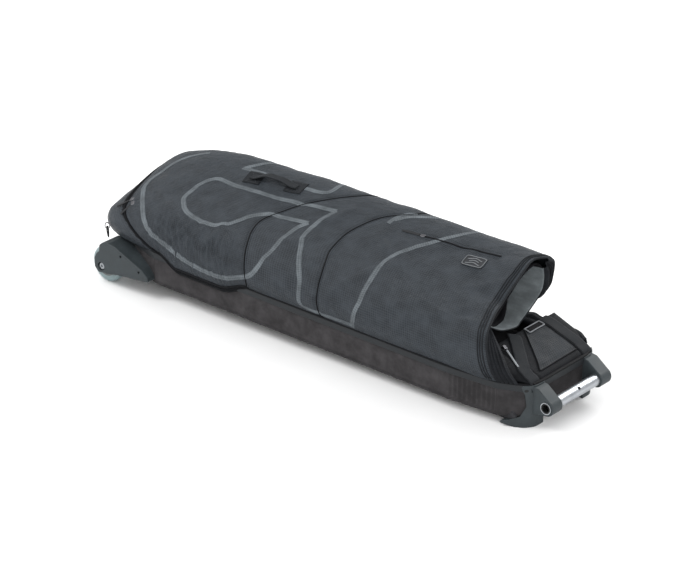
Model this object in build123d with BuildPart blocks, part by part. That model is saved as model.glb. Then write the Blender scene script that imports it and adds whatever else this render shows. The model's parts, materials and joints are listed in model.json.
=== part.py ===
from build123d import *
from math import cos, radians, sin
import os

# A wheeled soft travel bag for snow sports gear, folded flat for storage.
# Millimetres. The bag's own axes: x forward to the pull handle, y away from the near side,
# z up from the underside of its rigid tray. The bag stands on its two rear wheels and its
# two front feet, which makes it lean forward by LEAN degrees on the ground plane Z = 0.

LEAN = 0.95                 # nose-down angle of the tray on level ground
RIDE_HEIGHT = 24.2          # ground to the tray's underside at mid length
SHIFT = 3.4                 # centres the whole bag on the origin lengthwise

BASE_OUTLINE = [(-668, -98), (-636, -130), (-588, -137), (-490, -165),
                (430, -165), (560, -153), (618, -126), (634, -106)]
BASE_CORNER = 30            # rounding of the outline's corners
TRAY_HEIGHT = 76            # fabric-covered lower tray
RIM_HEIGHT = 92             # top of the moulded rim band
BAND_PROUD = 2.5            # the band stands out from the tray
WALL = 5                    # tray and band wall
TRAY_ROUND = 20             # rounding under the tray

AXLE_X, AXLE_Z = -650, 12.5
WHEEL_R = 47.5
WHEEL_INNER, WHEEL_OUTER = 142, 172     # the tyre's two faces, from the middle plane
HUB_R = 31
BEARING_R, BEARING_BORE, BEARING_WIDTH = 11, 4, 7
BOLT_R = 3.95
CHEEK_IN = (132, 139)       # inner cheek of the wheel housing
CHEEK_OUT = (176, 190)      # outer cheek of the wheel housing
HOUSING_PROFILE = [(-660, -6), (-673, 6), (-674, 30), (-668, 42), (-658, 52), (-656, 70),
                   (-645, 79), (-625, 82), (-602, 79), (-512, 44), (-493, 30),
                   (-489, 17), (-595, 4), (-625, -2)]
HOUSING_SCREWS = [(-582, 60), (-521, 36)]
COUNTERSINK_R, COUNTERSINK_DEEP = 11, 8     # pocket for the axle bolt's head
SCREW_R, SCREW_KEY_R = 3.5, 1.5
HUB_HOLES, HUB_HOLE_R, HUB_HOLES_AT = 5, 4.5, 21

TUBE_X, TUBE_Z = 671, 47
TUBE_R, TUBE_BORE_R, TUBE_HALF = 14.5, 12.5, 115
CLIP_HOLE_R = 4.25
CLIP_HOLE_TILT = 40         # degrees forward of straight up
ARM = (76, 113)             # the bracket arm's two faces, from the middle plane
EYE_R = 20
BRACKET_PROUD = 4.5
BRACKET_PROFILE = [(556, -4), (600, -14), (630, -20), (648, -8), (650, 92), (613, 92),
                   (622, 70), (625, 40), (614, 14), (590, 2)]
ARM_PROFILE = [(632, 90), (648, 88), (684, 62), (672, 27.5), (655, 24), (632, 20)]
BRACKET_SCREW, RIVET_R = (624, 80), 3.5
BUSH_BORE_R, BUSH_LENGTH = 9.5, 14

COVER_WALL = 6
RIDGE = 187                 # height of the cover's ridge above the rim
COVER_ARCH = [(-164, 0), (-175, 26), (-175, 56), (-160, 88), (-125, 111), (-60, 136),
              (0, 157), (60, 177), (110, 187), (145, 180), (168, 153), (176, 113),
              (175, 58), (170, 23), (164, 0)]
MOUTH_X = 490
# The cover's cross-sections: where, how wide against COVER_ARCH, and how high its ridge is.
COVER_STATIONS = [(-690, 0.58, 60), (-679, 0.73, 96), (-650, 0.85, 127), (-600, 0.94, 147),
                  (-500, 0.99, 167), (-300, 1.0, 179), (0, 1.0, 187), (300, 1.0, 187),
                  (MOUTH_X, 0.98, 189)]
ZIP_SLOPE = 0.515           # the rear zip lies in a plane that falls towards the front
ZIP_TOP = (-663, 193)
ZIP_TAPE = 10

PAD_BACK, PAD_TOP, PAD_FRONT = (505, 145), (514, 143), (624, 101)
PAD_NOSE = (629, 96)        # the pad's rounded front edge
PAD_HALF, PAD_THICK = 136, 12
GUSSET_PROFILE = [(501, RIM_HEIGHT), (501, 190), (512, 186), (556, 130), (588, RIM_HEIGHT)]
GUSSET_IN, GUSSET_THICK = 139, 10        # inner face, from the middle plane
LOW_GUSSET_PROFILE = [(478, RIM_HEIGHT), (478, 120), (567, 118), (600, 102),
                      (604, RIM_HEIGHT)]     # the far side's, which lies almost flat
ROLL_UNDERSIDE = [(412, RIM_HEIGHT - 1), (505, RIM_HEIGHT - 1), (505, 188), (484, 188)]
ROLL_SIDE = 105             # the far wall is rolled away beyond this distance
STRAP_WIDTH, STRAP_THICK = 35, 2
STRAP_FOOT, STRAP_TURN = 100, 34            # straps stand upright on the front edge to here
STRAP_HEADS = {"near": -22, "far": 89}      # middle of each strap at the pad's top

PLATE = 1.5                 # zip tapes, sewn patches and labels stand this proud
SLIDER_LIFT, SLIDER_HIGH = 0.3, 4
PULL_PIVOT, PULL_LIFT, PULL_THICK = 9.2, 1.6, 2     # the pull tab's pin, from the slider
HANDLE_SEATS, HANDLE_HEADING = [(-352, 50), (-228, 62)], 6
HANDLE_HALF, HANDLE_RISE, HANDLE_THICK, HANDLE_WIDTH = 80, 19, 2.5, 25
HANDLE_PATCH = (52, 36)
POCKET_ZIP, POCKET_LENGTH, POCKET_HEADING = (282, 58), 225, 5.5
POCKET_PULL, MAIN_PULL, FRONT_PULL = 52, 34, 60     # lengths of the zip pulls
MAIN_SLIDERS = [(-612, -112), (-598, -124)]
FRONT_ZIP_TURN = 20
BADGE, BADGE_SIZE, BADGE_HEADING = (350, 27), (58, 31), 10
LOOP_X, LOOP_Y, LOOP_LEAN = -640, -160, 24
RING_AT = 35.6              # the ring's centre, along the loop from its foot
STACK_TOP = 58

BAG = Plane(
    origin=(SHIFT, 0, RIDE_HEIGHT),
    x_dir=(cos(radians(LEAN)), 0, -sin(radians(LEAN))),
    z_dir=(sin(radians(LEAN)), 0, cos(radians(LEAN))),
)
UP = Axis(BAG.origin, BAG.z_dir)


def at(x, y, z):
    """A point given in the bag's own axes."""
    return BAG.from_local_coords((x, y, z))


def level(z):
    """A plane parallel to the tray's underside."""
    return BAG.offset(z)


def section(x):
    """A cross-section plane; its axes are y and z."""
    return Plane(origin=at(x, 0, 0), x_dir=BAG.y_dir, z_dir=BAG.x_dir)


def side(y):
    """A lengthwise plane facing the near side; its axes are x and z."""
    return Plane(origin=at(0, y, 0), x_dir=BAG.x_dir, z_dir=-BAG.y_dir)


def save(builder, name):
    """Label one finished sub-part and write it."""
    builder.part.label = name
    export_step(builder.part, f"parts/{name}.step")


def save_pair(near, name):
    """Write a near-side sub-part and its mirror image on the far side."""
    save(near, f"{name}_near")
    with BuildPart() as far:
        mirror(near.part, about=Plane.XZ)
    save(far, f"{name}_far")


def base_block(grow, low, high, bottom_round=0):
    """A solid of the base's outline, grown all round, between two heights."""
    outline = BASE_OUTLINE + [(x, -y) for x, y in reversed(BASE_OUTLINE)]
    with BuildPart() as block:
        with BuildSketch(level(low)):
            with BuildLine():
                Polyline(*outline, close=True)
            make_face()
            fillet(vertices(), BASE_CORNER)
            if grow:
                offset(amount=grow)
        extrude(amount=high - low)
        if bottom_round:
            fillet(block.edges().group_by(UP)[0], bottom_round)
    return block


# --- rigid base -------------------------------------------------------------------------

def make_base():
    outer = base_block(0, 0, TRAY_HEIGHT, TRAY_ROUND)
    inner = base_block(-WALL, WALL, TRAY_HEIGHT + 1, TRAY_ROUND - 4)
    band_block = base_block(BAND_PROUD, TRAY_HEIGHT, RIM_HEIGHT)
    band_hollow = base_block(-WALL, TRAY_HEIGHT - 1, RIM_HEIGHT + 1)
    with BuildPart() as base_tub:
        add(outer.part)
        add(inner.part, mode=Mode.SUBTRACT)
    save(base_tub, "base_tub")
    with BuildPart() as rim_band:
        add(band_block.part)
        fillet(rim_band.edges().group_by(UP)[0], 1.2)
        fillet(rim_band.edges().group_by(UP)[-1], 2)
        add(band_hollow.part, mode=Mode.SUBTRACT)
    save(rim_band, "base_rim_band")
    save(base_block(-TRAY_ROUND - 1, WALL, WALL + 3), "floor_board")
    save(base_block(-TRAY_ROUND - 3, WALL + 3, WALL + 11), "floor_pad")
    with BuildPart() as solid_base:
        add(outer.part)
        add(band_block.part)
    return solid_base


def make_skid_rails():
    length, width, height = 960, 16, 4
    with BuildPart() as rails:
        with BuildSketch(level(-height)):
            with GridLocations(0, 92, 1, 3):
                SlotOverall(length, width)
        extrude(amount=height)
        fillet(rails.edges().group_by(UP)[0], 2)
    save(rails, "skid_rails")


# --- wheels and their housings ----------------------------------------------------------

def disc(radius, inner, outer, bore=0):
    """A disc or ring on the near axle between two distances from the middle plane."""
    with BuildPart() as ring:
        with BuildSketch(side(-inner)):
            with Locations((AXLE_X, AXLE_Z)):
                Circle(radius)
                if bore:
                    Circle(bore, mode=Mode.SUBTRACT)
        extrude(amount=outer - inner)
    return ring


def make_housing(solid_base):
    with BuildPart() as housing:
        with BuildSketch(side(-CHEEK_IN[0])):
            with BuildLine():
                Polyline(*HOUSING_PROFILE, close=True)
            make_face()
            fillet(vertices(), 5)
        extrude(amount=CHEEK_OUT[1] - CHEEK_IN[0])
        fillet(housing.faces().sort_by(Axis.Y)[0].edges(), 3)
        add(disc(WHEEL_R + 4, CHEEK_IN[1], CHEEK_OUT[0]).part, mode=Mode.SUBTRACT)
        add(disc(BOLT_R, CHEEK_IN[0] - 1, CHEEK_OUT[1] + 1).part, mode=Mode.SUBTRACT)
        pocket = disc(COUNTERSINK_R, CHEEK_OUT[1] - COUNTERSINK_DEEP, CHEEK_OUT[1] + 1)
        add(pocket.part, mode=Mode.SUBTRACT)
        with BuildSketch(side(-CHEEK_OUT[1] - 1)):
            with Locations(*HOUSING_SCREWS):
                Circle(SCREW_R)
        extrude(amount=-6, mode=Mode.SUBTRACT)
        add(solid_base.part, mode=Mode.SUBTRACT)
    save_pair(housing, "wheel_housing")
    with BuildPart() as screws:
        with BuildSketch(side(-CHEEK_OUT[1] + 5)):
            with Locations(*HOUSING_SCREWS):
                Circle(SCREW_R)
        extrude(amount=3)
        with BuildSketch(side(-CHEEK_OUT[1] + 2)):
            with Locations(*HOUSING_SCREWS):
                RegularPolygon(SCREW_KEY_R, 6)
        extrude(amount=-2, mode=Mode.SUBTRACT)
        mirror(screws.part, about=Plane.XZ)
    save(screws, "housing_screws")


def make_wheel():
    with BuildPart() as tyre:
        add(disc(WHEEL_R, WHEEL_INNER, WHEEL_OUTER).part)
        rims = tyre.edges().filter_by(GeomType.CIRCLE)
        fillet(rims, 9)
        add(disc(HUB_R, WHEEL_INNER - 1, WHEEL_OUTER + 1).part, mode=Mode.SUBTRACT)
    save_pair(tyre, "wheel_tyre")
    with BuildPart() as hub:
        add(disc(HUB_R, WHEEL_INNER, WHEEL_OUTER, BEARING_BORE + 3).part)
        for low in (WHEEL_INNER - 1, WHEEL_OUTER - BEARING_WIDTH):
            add(disc(BEARING_R, low, low + BEARING_WIDTH + 1).part, mode=Mode.SUBTRACT)
        for low in (WHEEL_INNER - 1, WHEEL_OUTER - 9):
            add(disc(HUB_R - 4, low, low + 10, BEARING_R + 4).part, mode=Mode.SUBTRACT)
        with BuildSketch(side(-WHEEL_INNER)):
            with Locations((AXLE_X, AXLE_Z)):
                with PolarLocations(HUB_HOLES_AT, HUB_HOLES):
                    Circle(HUB_HOLE_R)
        extrude(amount=WHEEL_OUTER - WHEEL_INNER, mode=Mode.SUBTRACT)
    save_pair(hub, "wheel_hub")
    with BuildPart() as bearings:
        for low in (WHEEL_INNER, WHEEL_OUTER - BEARING_WIDTH):
            add(disc(BEARING_R, low, low + BEARING_WIDTH, BEARING_BORE).part)
    save_pair(bearings, "wheel_bearings")
    with BuildPart() as bolt:
        seat = CHEEK_OUT[1] - COUNTERSINK_DEEP
        add(disc(BOLT_R, CHEEK_IN[0] - 7, seat).part)
        add(disc(8, seat, seat + 5).part)
        with BuildSketch(side(-CHEEK_OUT[1] + 3)):
            with Locations((AXLE_X, AXLE_Z)):
                RegularPolygon(3.5, 6)
        extrude(amount=-3, mode=Mode.SUBTRACT)
    save_pair(bolt, "axle_bolt")
    with BuildPart() as nut:
        with BuildSketch(side(-CHEEK_IN[0] + 6)):
            with Locations((AXLE_X, AXLE_Z)):
                RegularPolygon(7, 6)
                Circle(BOLT_R, mode=Mode.SUBTRACT)
        extrude(amount=6)
    save_pair(nut, "axle_nut")
    with BuildPart() as spacers:
        add(disc(6.5, CHEEK_IN[1], WHEEL_INNER - 0.3, BOLT_R).part)
        add(disc(6.5, WHEEL_OUTER + 0.3, CHEEK_OUT[0], BOLT_R).part)
    save_pair(spacers, "axle_spacers")


# --- front corner brackets and pull handle ----------------------------------------------

def make_bracket(solid_base):
    plan = base_block(BRACKET_PROUD, -30, RIM_HEIGHT)
    with BuildPart() as shell:
        with BuildSketch(side(-ARM[0])):
            with BuildLine():
                Polyline(*BRACKET_PROFILE, close=True)
            make_face()
            fillet(vertices(), 4)
        extrude(amount=80)
        add(plan.part, mode=Mode.INTERSECT)
        split(bisect_by=Plane.XY, keep=Keep.TOP)
        add(solid_base.part, mode=Mode.SUBTRACT)
    with BuildPart() as bracket:
        with BuildSketch(side(-ARM[0])):
            with BuildLine():
                Polyline(*ARM_PROFILE, close=True)
            make_face()
            with Locations((TUBE_X, TUBE_Z)):
                Circle(EYE_R)
        extrude(amount=ARM[1] - ARM[0])
        outer = bracket.faces().sort_by(Axis.Y)
        fillet(outer[0].edges() + outer[-1].edges(), 2)
        add(solid_base.part, mode=Mode.SUBTRACT)
        add(shell.part)
        with BuildSketch(side(-ARM[0] + 1)):
            with Locations((TUBE_X, TUBE_Z)):
                Circle(TUBE_R)
        extrude(amount=ARM[1] - ARM[0] + 2, mode=Mode.SUBTRACT)
        with BuildSketch(side(-150)):
            with Locations(BRACKET_SCREW):
                Circle(RIVET_R)
        extrude(amount=-100, mode=Mode.SUBTRACT)
    save_pair(bracket, "corner_bracket")
    with BuildPart() as rivets:
        with BuildSketch(side(-150)):
            with Locations(BRACKET_SCREW):
                Circle(RIVET_R)
        extrude(amount=-100)
        add(plan.part, mode=Mode.INTERSECT)
        add(solid_base.part, mode=Mode.SUBTRACT)
        mirror(rivets.part, about=Plane.XZ)
    save(rivets, "bracket_rivets")


def make_handle():
    with BuildPart() as tube:
        with BuildSketch(side(-TUBE_HALF)):
            with Locations((TUBE_X, TUBE_Z)):
                Circle(TUBE_R)
                Circle(TUBE_BORE_R, mode=Mode.SUBTRACT)
        extrude(amount=-2 * TUBE_HALF)
        with BuildSketch(clip_hole_plane()):
            Circle(CLIP_HOLE_R)
        extrude(amount=2 * TUBE_R, both=True, mode=Mode.SUBTRACT)
    save(tube, "handle_tube")
    with BuildPart() as bushes:
        for y in (-TUBE_HALF, TUBE_HALF - BUSH_LENGTH):
            with BuildSketch(side(y)):
                with Locations((TUBE_X, TUBE_Z)):
                    Circle(TUBE_BORE_R)
                    Circle(BUSH_BORE_R, mode=Mode.SUBTRACT)
            extrude(amount=-BUSH_LENGTH)
    save(bushes, "handle_end_bushes")


def clip_hole_plane():
    """The plane across the drilled hole, through the tube's axis; its normal is the hole's."""
    tilt = radians(CLIP_HOLE_TILT)
    normal = BAG.x_dir * sin(tilt) + BAG.z_dir * cos(tilt)
    return Plane(origin=at(TUBE_X, 0, TUBE_Z), x_dir=BAG.y_dir, z_dir=normal)


# --- folded soft cover ------------------------------------------------------------------

def arch(x, width, ridge, wall=0, drop=0):
    """One closed cross-section of the cover: an arch over the rim, closed along its foot."""
    across = (175 * width - wall) / 175
    lift = (ridge - wall + drop) / RIDGE
    points = [(y * across, RIM_HEIGHT - drop + h * lift) for y, h in COVER_ARCH]
    with BuildSketch(section(x)) as sketch:
        with BuildLine():
            Polyline(*points, close=True)
        make_face()
    return sketch


def make_cover_shell():
    with BuildPart() as hollow:
        for x, width, ridge in COVER_STATIONS[:-1]:
            add(arch(x + COVER_WALL, width, ridge, COVER_WALL, 8).sketch)
        x, width, ridge = COVER_STATIONS[-1]
        add(arch(x + 1, width, ridge, COVER_WALL, 8).sketch)
        loft(ruled=True)
    with BuildPart() as shell:
        for station in COVER_STATIONS:
            add(arch(*station).sketch)
        loft(ruled=True)
        add(hollow.part, mode=Mode.SUBTRACT)
    return shell


ZIP_PLANE = Plane(origin=at(ZIP_TOP[0], 0, ZIP_TOP[1]), x_dir=BAG.y_dir,
                  z_dir=BAG.x_dir * ZIP_SLOPE + BAG.z_dir)
PAD_NORMAL = (BAG.x_dir * (PAD_TOP[1] - PAD_FRONT[1])
              + BAG.z_dir * (PAD_FRONT[0] - PAD_TOP[0]))
SEAM_REAR = Plane(origin=at(-205, -170, 0), x_dir=BAG.z_dir,
                  z_dir=BAG.x_dir * 290 - BAG.y_dir * 150)
SEAM_FRONT = Plane(origin=at(30, -165, 0), x_dir=BAG.z_dir,
                   z_dir=BAG.x_dir * 285 - BAG.y_dir * 45)


def make_cover(shell):
    zip_front = ZIP_PLANE.offset(ZIP_TAPE)
    cuts = {
        "rear_end_panel": [(ZIP_PLANE, Keep.BOTTOM)],
        "main_zip_tape": [(ZIP_PLANE, Keep.TOP), (zip_front, Keep.BOTTOM)],
        "cover_rear_panel": [(zip_front, Keep.TOP), (SEAM_REAR, Keep.BOTTOM)],
        "cover_middle_panel": [(SEAM_REAR, Keep.TOP), (SEAM_FRONT, Keep.BOTTOM)],
        "cover_front_panel": [(SEAM_FRONT, Keep.TOP)],
    }
    for name, planes in cuts.items():
        with BuildPart() as panel:
            add(shell.part)
            for plane, keep in planes:
                split(bisect_by=plane, keep=keep)
            if name == "cover_front_panel":
                add(roll_gap().part, mode=Mode.SUBTRACT)
        save(panel, name)


def roll_gap():
    """The space under the far side of the mouth, where the cover is rolled inwards."""
    with BuildPart() as gap:
        with BuildSketch(side(ROLL_SIDE)):
            with BuildLine():
                Polyline(*ROLL_UNDERSIDE, close=True)
            make_face()
        extrude(amount=-100)
    return gap


def make_mouth():
    """The bound edge of the open front end, and the grey lining just inside it."""
    width, ridge = COVER_STATIONS[-1][1:]
    with BuildPart() as binding:
        add(arch(MOUTH_X, width, ridge, -2).sketch)
        extrude(amount=9, dir=BAG.x_dir)
        add(arch(MOUTH_X - 1, width, ridge, COVER_WALL, 8).sketch)
        extrude(amount=11, dir=BAG.x_dir, mode=Mode.SUBTRACT)
        add(roll_gap().part, mode=Mode.SUBTRACT)
    save(binding, "mouth_binding")
    with BuildPart() as lining:
        add(arch(MOUTH_X - 80, width, ridge, COVER_WALL + 5).sketch)
        extrude(amount=84, dir=BAG.x_dir)
        add(arch(MOUTH_X - 81, width, ridge, COVER_WALL + 8, 8).sketch)
        extrude(amount=86, dir=BAG.x_dir, mode=Mode.SUBTRACT)
        add(roll_gap().part, mode=Mode.SUBTRACT)
    save(lining, "mouth_lining")


def make_front_end():
    """The padded slope that closes the front of the tray, its pleats and its straps."""
    plan = base_block(-1, RIM_HEIGHT, RIM_HEIGHT + 100)
    back, nose = PAD_BACK[0], PAD_NOSE[0]
    with BuildPart() as pad:
        with BuildSketch(side(-PAD_HALF)):
            with BuildLine():
                Polyline((back, RIM_HEIGHT), PAD_BACK, PAD_TOP, PAD_FRONT, PAD_NOSE,
                         (nose, RIM_HEIGHT), close=True)
            make_face()
            fillet(vertices().group_by(Axis.X)[-1], 1.5)
        extrude(amount=-2 * PAD_HALF)
        with BuildSketch(side(-PAD_HALF + PAD_THICK)):
            with BuildLine():
                Polyline((back - 1, RIM_HEIGHT - 1), (back - 1, PAD_BACK[1] - PAD_THICK),
                         (nose - 29, RIM_HEIGHT + 5), (nose - 17, RIM_HEIGHT - 1), close=True)
            make_face()
        extrude(amount=-2 * (PAD_HALF - PAD_THICK), mode=Mode.SUBTRACT)
        add(plan.part, mode=Mode.INTERSECT)
    save(pad, "front_end_pad")
    make_gusset(plan, GUSSET_PROFILE, -GUSSET_IN - GUSSET_THICK, "near")
    make_gusset(plan, LOW_GUSSET_PROFILE, GUSSET_IN, "far")
    for name, y in (("near", -STRAP_FOOT), ("far", STRAP_FOOT)):
        make_strap(pad, name, y)


def make_gusset(plan, profile, y, name):
    with BuildPart() as gusset:
        with BuildSketch(side(y)):
            with BuildLine():
                Polyline(*profile, close=True)
            make_face()
        extrude(amount=-GUSSET_THICK)
        add(plan.part, mode=Mode.INTERSECT)
    save(gusset, f"pleat_gusset_{name}")


def make_strap(pad, name, y):
    """A strap that comes up over the front edge and runs aslant up the pad."""
    nose, half = PAD_NOSE[0], STRAP_WIDTH / 2
    head = STRAP_HEADS[name]
    slope = pad_plane()
    reach = (PAD_TOP[0] - PAD_FRONT[0]) / slope.x_dir.dot(BAG.x_dir) * -1
    with BuildPart() as strap:
        with BuildSketch(side(y - half)):
            with BuildLine():
                Polyline(PAD_FRONT, PAD_NOSE, (nose, RIM_HEIGHT - 4),
                         (nose + BRACKET_PROUD, RIM_HEIGHT), (nose + 3, PAD_NOSE[1] + 1),
                         (PAD_FRONT[0] + 1, PAD_FRONT[1] + STRAP_THICK + 1), close=True)
            make_face()
        extrude(amount=-STRAP_WIDTH)
        with BuildSketch(slope):
            with BuildLine():
                Polyline((0, head - half), (0, head + half), (reach - STRAP_TURN, y + half),
                         (reach, y + half), (reach, y - half), (reach - STRAP_TURN, y - half),
                         close=True)
            make_face()
        extrude(amount=STRAP_THICK)
        add(pad.part, mode=Mode.SUBTRACT)
        add(base_block(10, 0, RIM_HEIGHT).part, mode=Mode.SUBTRACT)
    save(strap, f"front_strap_{name}")


def pad_plane():
    """The pad's sloping face; its x axis runs down the slope from PAD_TOP."""
    top, foot = (at(x, 0, z) for x, z in (PAD_TOP, PAD_FRONT))
    return Plane(origin=top, x_dir=foot - top, z_dir=PAD_NORMAL)


def on_cover(shell, x, y, heading=0):
    """A plane that touches the cover's outer surface above (x, y), its x axis turned by
    heading degrees from the bag's length."""
    ray = Axis(at(x, y, 400), -BAG.z_dir)
    point, normal = shell.part.find_intersection_points(ray)[0]
    if normal.dot(BAG.z_dir) < 0:
        normal = normal * -1
    turn = radians(heading)
    along = BAG.x_dir * cos(turn) + BAG.y_dir * sin(turn)
    return Plane(origin=point, x_dir=along - normal * along.dot(normal), z_dir=normal)


def patch(shell, plane, length, width, thick, corner, sink=4):
    """A flat rounded patch that sits on the cover and follows it underneath."""
    with BuildPart() as piece:
        with BuildSketch(plane.offset(-sink)):
            RectangleRounded(length, width, corner)
        extrude(amount=sink + thick)
        add(shell.part, mode=Mode.SUBTRACT)
    return piece


def make_carry_handle(shell):
    """A webbing grab strap held by two sewn patches on the ridge."""
    seats = [on_cover(shell, x, y, HANDLE_HEADING) for x, y in HANDLE_SEATS]
    with BuildPart() as patches:
        for seat in seats:
            add(patch(shell, seat, *HANDLE_PATCH, PLATE, 4).part)
    save(patches, "carry_handle_patches")
    middle = Plane(origin=(seats[0].origin + seats[1].origin) / 2,
                   x_dir=seats[1].origin - seats[0].origin,
                   z_dir=seats[0].z_dir + seats[1].z_dir)
    profile = Plane(origin=middle.origin, x_dir=middle.x_dir, z_dir=-middle.y_dir)
    half, top, under = HANDLE_HALF, HANDLE_RISE, HANDLE_RISE - HANDLE_THICK
    with BuildPart() as strap:
        with BuildSketch(profile):
            with BuildLine():
                ThreePointArc((-half, 1), (0, top), (half, 1))
                Line((half, 1), (half, -3))
                ThreePointArc((half, -3), (0, under), (-half, -3))
                Line((-half, -3), (-half, 1))
            make_face()
        extrude(amount=HANDLE_WIDTH / 2, both=True)
        add(shell.part, mode=Mode.SUBTRACT)
        add(patches.part, mode=Mode.SUBTRACT)
    save(strap, "carry_handle_strap")


def slider_and_pull(plane, pull_plane, pull_length, name):
    """A zip slider standing on a plane, and its pull tab lying along another plane's x."""
    with BuildPart() as slider:
        with BuildSketch(plane.offset(SLIDER_LIFT)):
            RectangleRounded(13, 9, 2)
        extrude(amount=SLIDER_HIGH)
        fillet(slider.edges().group_by(Axis(plane.origin, plane.z_dir))[-1], 1)
    save(slider, f"{name}_slider")
    with BuildPart() as pull:
        with BuildSketch(pull_plane.offset(PULL_LIFT)):
            with Locations((PULL_PIVOT + pull_length / 2 - 2.2, 0)):
                RectangleRounded(pull_length, 6.5, 2)
            with Locations((PULL_PIVOT, 0)):
                Circle(1.2, mode=Mode.SUBTRACT)
        extrude(amount=PULL_THICK)
    save(pull, f"{name}_pull")


def make_pocket_zip(shell):
    seat = on_cover(shell, *POCKET_ZIP, POCKET_HEADING)
    tape = patch(shell, seat, POCKET_LENGTH, 17, PLATE, 3)
    save(tape, "pocket_zip_tape")
    start = Plane(origin=seat.from_local_coords((-POCKET_LENGTH / 2 + 10, 0, PLATE)),
                  x_dir=seat.x_dir, z_dir=seat.z_dir)
    back = Plane(origin=start.origin, x_dir=-seat.x_dir, z_dir=seat.z_dir)
    slider_and_pull(start, back, POCKET_PULL, "pocket_zip")


def make_main_sliders(shell):
    """Two sliders that meet on the rear zip at the near corner; their pulls hang down."""
    for name, (x, y) in zip(("upper", "lower"), MAIN_SLIDERS):
        seat = on_cover(shell, x, y)
        tape_way = seat.z_dir.cross(ZIP_PLANE.z_dir)
        ride = Plane(origin=seat.from_local_coords((0, 0, 1)), x_dir=tape_way,
                     z_dir=seat.z_dir)
        fall = seat.z_dir * seat.z_dir.Z - Vector(0, 0, 1)
        hang = Plane(origin=ride.origin, x_dir=fall, z_dir=seat.z_dir)
        slider_and_pull(ride, hang, MAIN_PULL, f"main_zip_{name}")


def make_front_details():
    """The label tab and the short zip on the padded slope."""
    slope = pad_plane()
    with BuildPart() as tab:
        with BuildSketch(slope):
            with Locations((7, 42)):
                RectangleRounded(12, 57, 1.5)
        extrude(amount=PLATE)
    save(tab, "label_tab")
    turn = radians(FRONT_ZIP_TURN)
    seat = Plane(origin=slope.from_local_coords((26, -88, 0)), z_dir=slope.z_dir,
                 x_dir=slope.x_dir * cos(turn) - slope.y_dir * sin(turn))
    with BuildPart() as tape:
        with BuildSketch(seat):
            RectangleRounded(44, 14, 2)
        extrude(amount=PLATE)
    save(tape, "front_zip_tape")
    start = Plane(origin=seat.from_local_coords((-14, 0, PLATE)), x_dir=seat.x_dir,
                  z_dir=seat.z_dir)
    slider_and_pull(start, start, FRONT_PULL, "front_zip")


def make_badge(shell):
    seat = on_cover(shell, *BADGE, BADGE_HEADING)
    save(patch(shell, seat, *BADGE_SIZE, 2.2, 5), "badge_plate")


def loop_plane():
    """The lengthwise plane of the loop, leaning back; its y axis runs up the loop."""
    lean = radians(LOOP_LEAN)
    return Plane(origin=at(LOOP_X, LOOP_Y + 2, 80.4), z_dir=-BAG.y_dir,
                 x_dir=BAG.x_dir * cos(lean) + BAG.z_dir * sin(lean))


def make_rear_loop():
    """A short cord loop on the near wheel housing, with a ring hung in it."""
    foot = loop_plane()
    with BuildPart() as loop:
        with BuildSketch(foot):
            with Locations((0, 16)):
                SlotOverall(36, 12, rotation=90)
                SlotOverall(29, 6, rotation=90, mode=Mode.SUBTRACT)
        extrude(amount=4)
        split(bisect_by=level(82.2), keep=Keep.TOP)
    save(loop, "rear_loop")
    centre = foot.from_local_coords((0, RING_AT, 2))
    with BuildPart(Plane(origin=centre, x_dir=BAG.y_dir, z_dir=foot.x_dir)) as ring:
        Torus(7.5, 1.3)
    save(ring, "rear_ring")


def make_stowed_inside():
    """What the folded bag holds: its folded upper walls, two stiffening rods, two straps."""
    low = WALL + 11
    save(base_block(-TRAY_ROUND - 8, low, STACK_TOP), "folded_wall_stack")
    with BuildPart() as straps:
        with BuildSketch(level(STACK_TOP)):
            with Locations((-300, 0), (250, 0)):
                Rectangle(38, 270)
        extrude(amount=STRAP_THICK)
    save(straps, "tie_down_straps")
    rod_height = STACK_TOP + STRAP_THICK + 4
    with BuildPart() as rods:
        with BuildSketch(section(-560)):
            with Locations((-100, rod_height), (100, rod_height)):
                Circle(4)
        extrude(amount=1000)
    save(rods, "stiffening_rods")


os.makedirs("parts", exist_ok=True)
SOLID_BASE = make_base()
make_skid_rails()
make_housing(SOLID_BASE)
make_wheel()
make_bracket(SOLID_BASE)
make_handle()
SHELL = make_cover_shell()
make_cover(SHELL)
make_mouth()
make_front_end()
make_front_details()
make_carry_handle(SHELL)
make_pocket_zip(SHELL)
make_main_sliders(SHELL)
make_badge(SHELL)
make_rear_loop()
make_stowed_inside()
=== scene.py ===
"""The looks of a wheeled travel bag, lying with its front end open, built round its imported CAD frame."""

import json
import math

import bpy
import numpy as np
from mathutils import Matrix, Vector, noise
from mathutils.bvhtree import BVHTree


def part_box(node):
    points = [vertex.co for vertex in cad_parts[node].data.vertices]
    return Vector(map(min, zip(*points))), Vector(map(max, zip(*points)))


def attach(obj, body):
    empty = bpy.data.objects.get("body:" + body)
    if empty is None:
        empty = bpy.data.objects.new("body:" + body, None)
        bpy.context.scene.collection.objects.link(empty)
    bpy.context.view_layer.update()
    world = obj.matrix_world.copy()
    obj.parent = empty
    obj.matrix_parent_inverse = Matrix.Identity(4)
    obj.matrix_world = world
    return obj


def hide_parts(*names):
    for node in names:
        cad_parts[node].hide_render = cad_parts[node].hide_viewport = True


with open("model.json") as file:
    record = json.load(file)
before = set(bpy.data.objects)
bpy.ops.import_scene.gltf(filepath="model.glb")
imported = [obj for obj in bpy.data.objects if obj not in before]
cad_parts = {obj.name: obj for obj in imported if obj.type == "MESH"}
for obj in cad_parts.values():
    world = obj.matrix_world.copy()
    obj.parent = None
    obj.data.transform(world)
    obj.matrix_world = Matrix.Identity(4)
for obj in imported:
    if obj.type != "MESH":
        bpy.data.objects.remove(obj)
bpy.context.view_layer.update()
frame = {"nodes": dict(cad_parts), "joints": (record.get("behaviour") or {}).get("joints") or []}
NODES = frame["nodes"]
MM = 0.001

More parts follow.
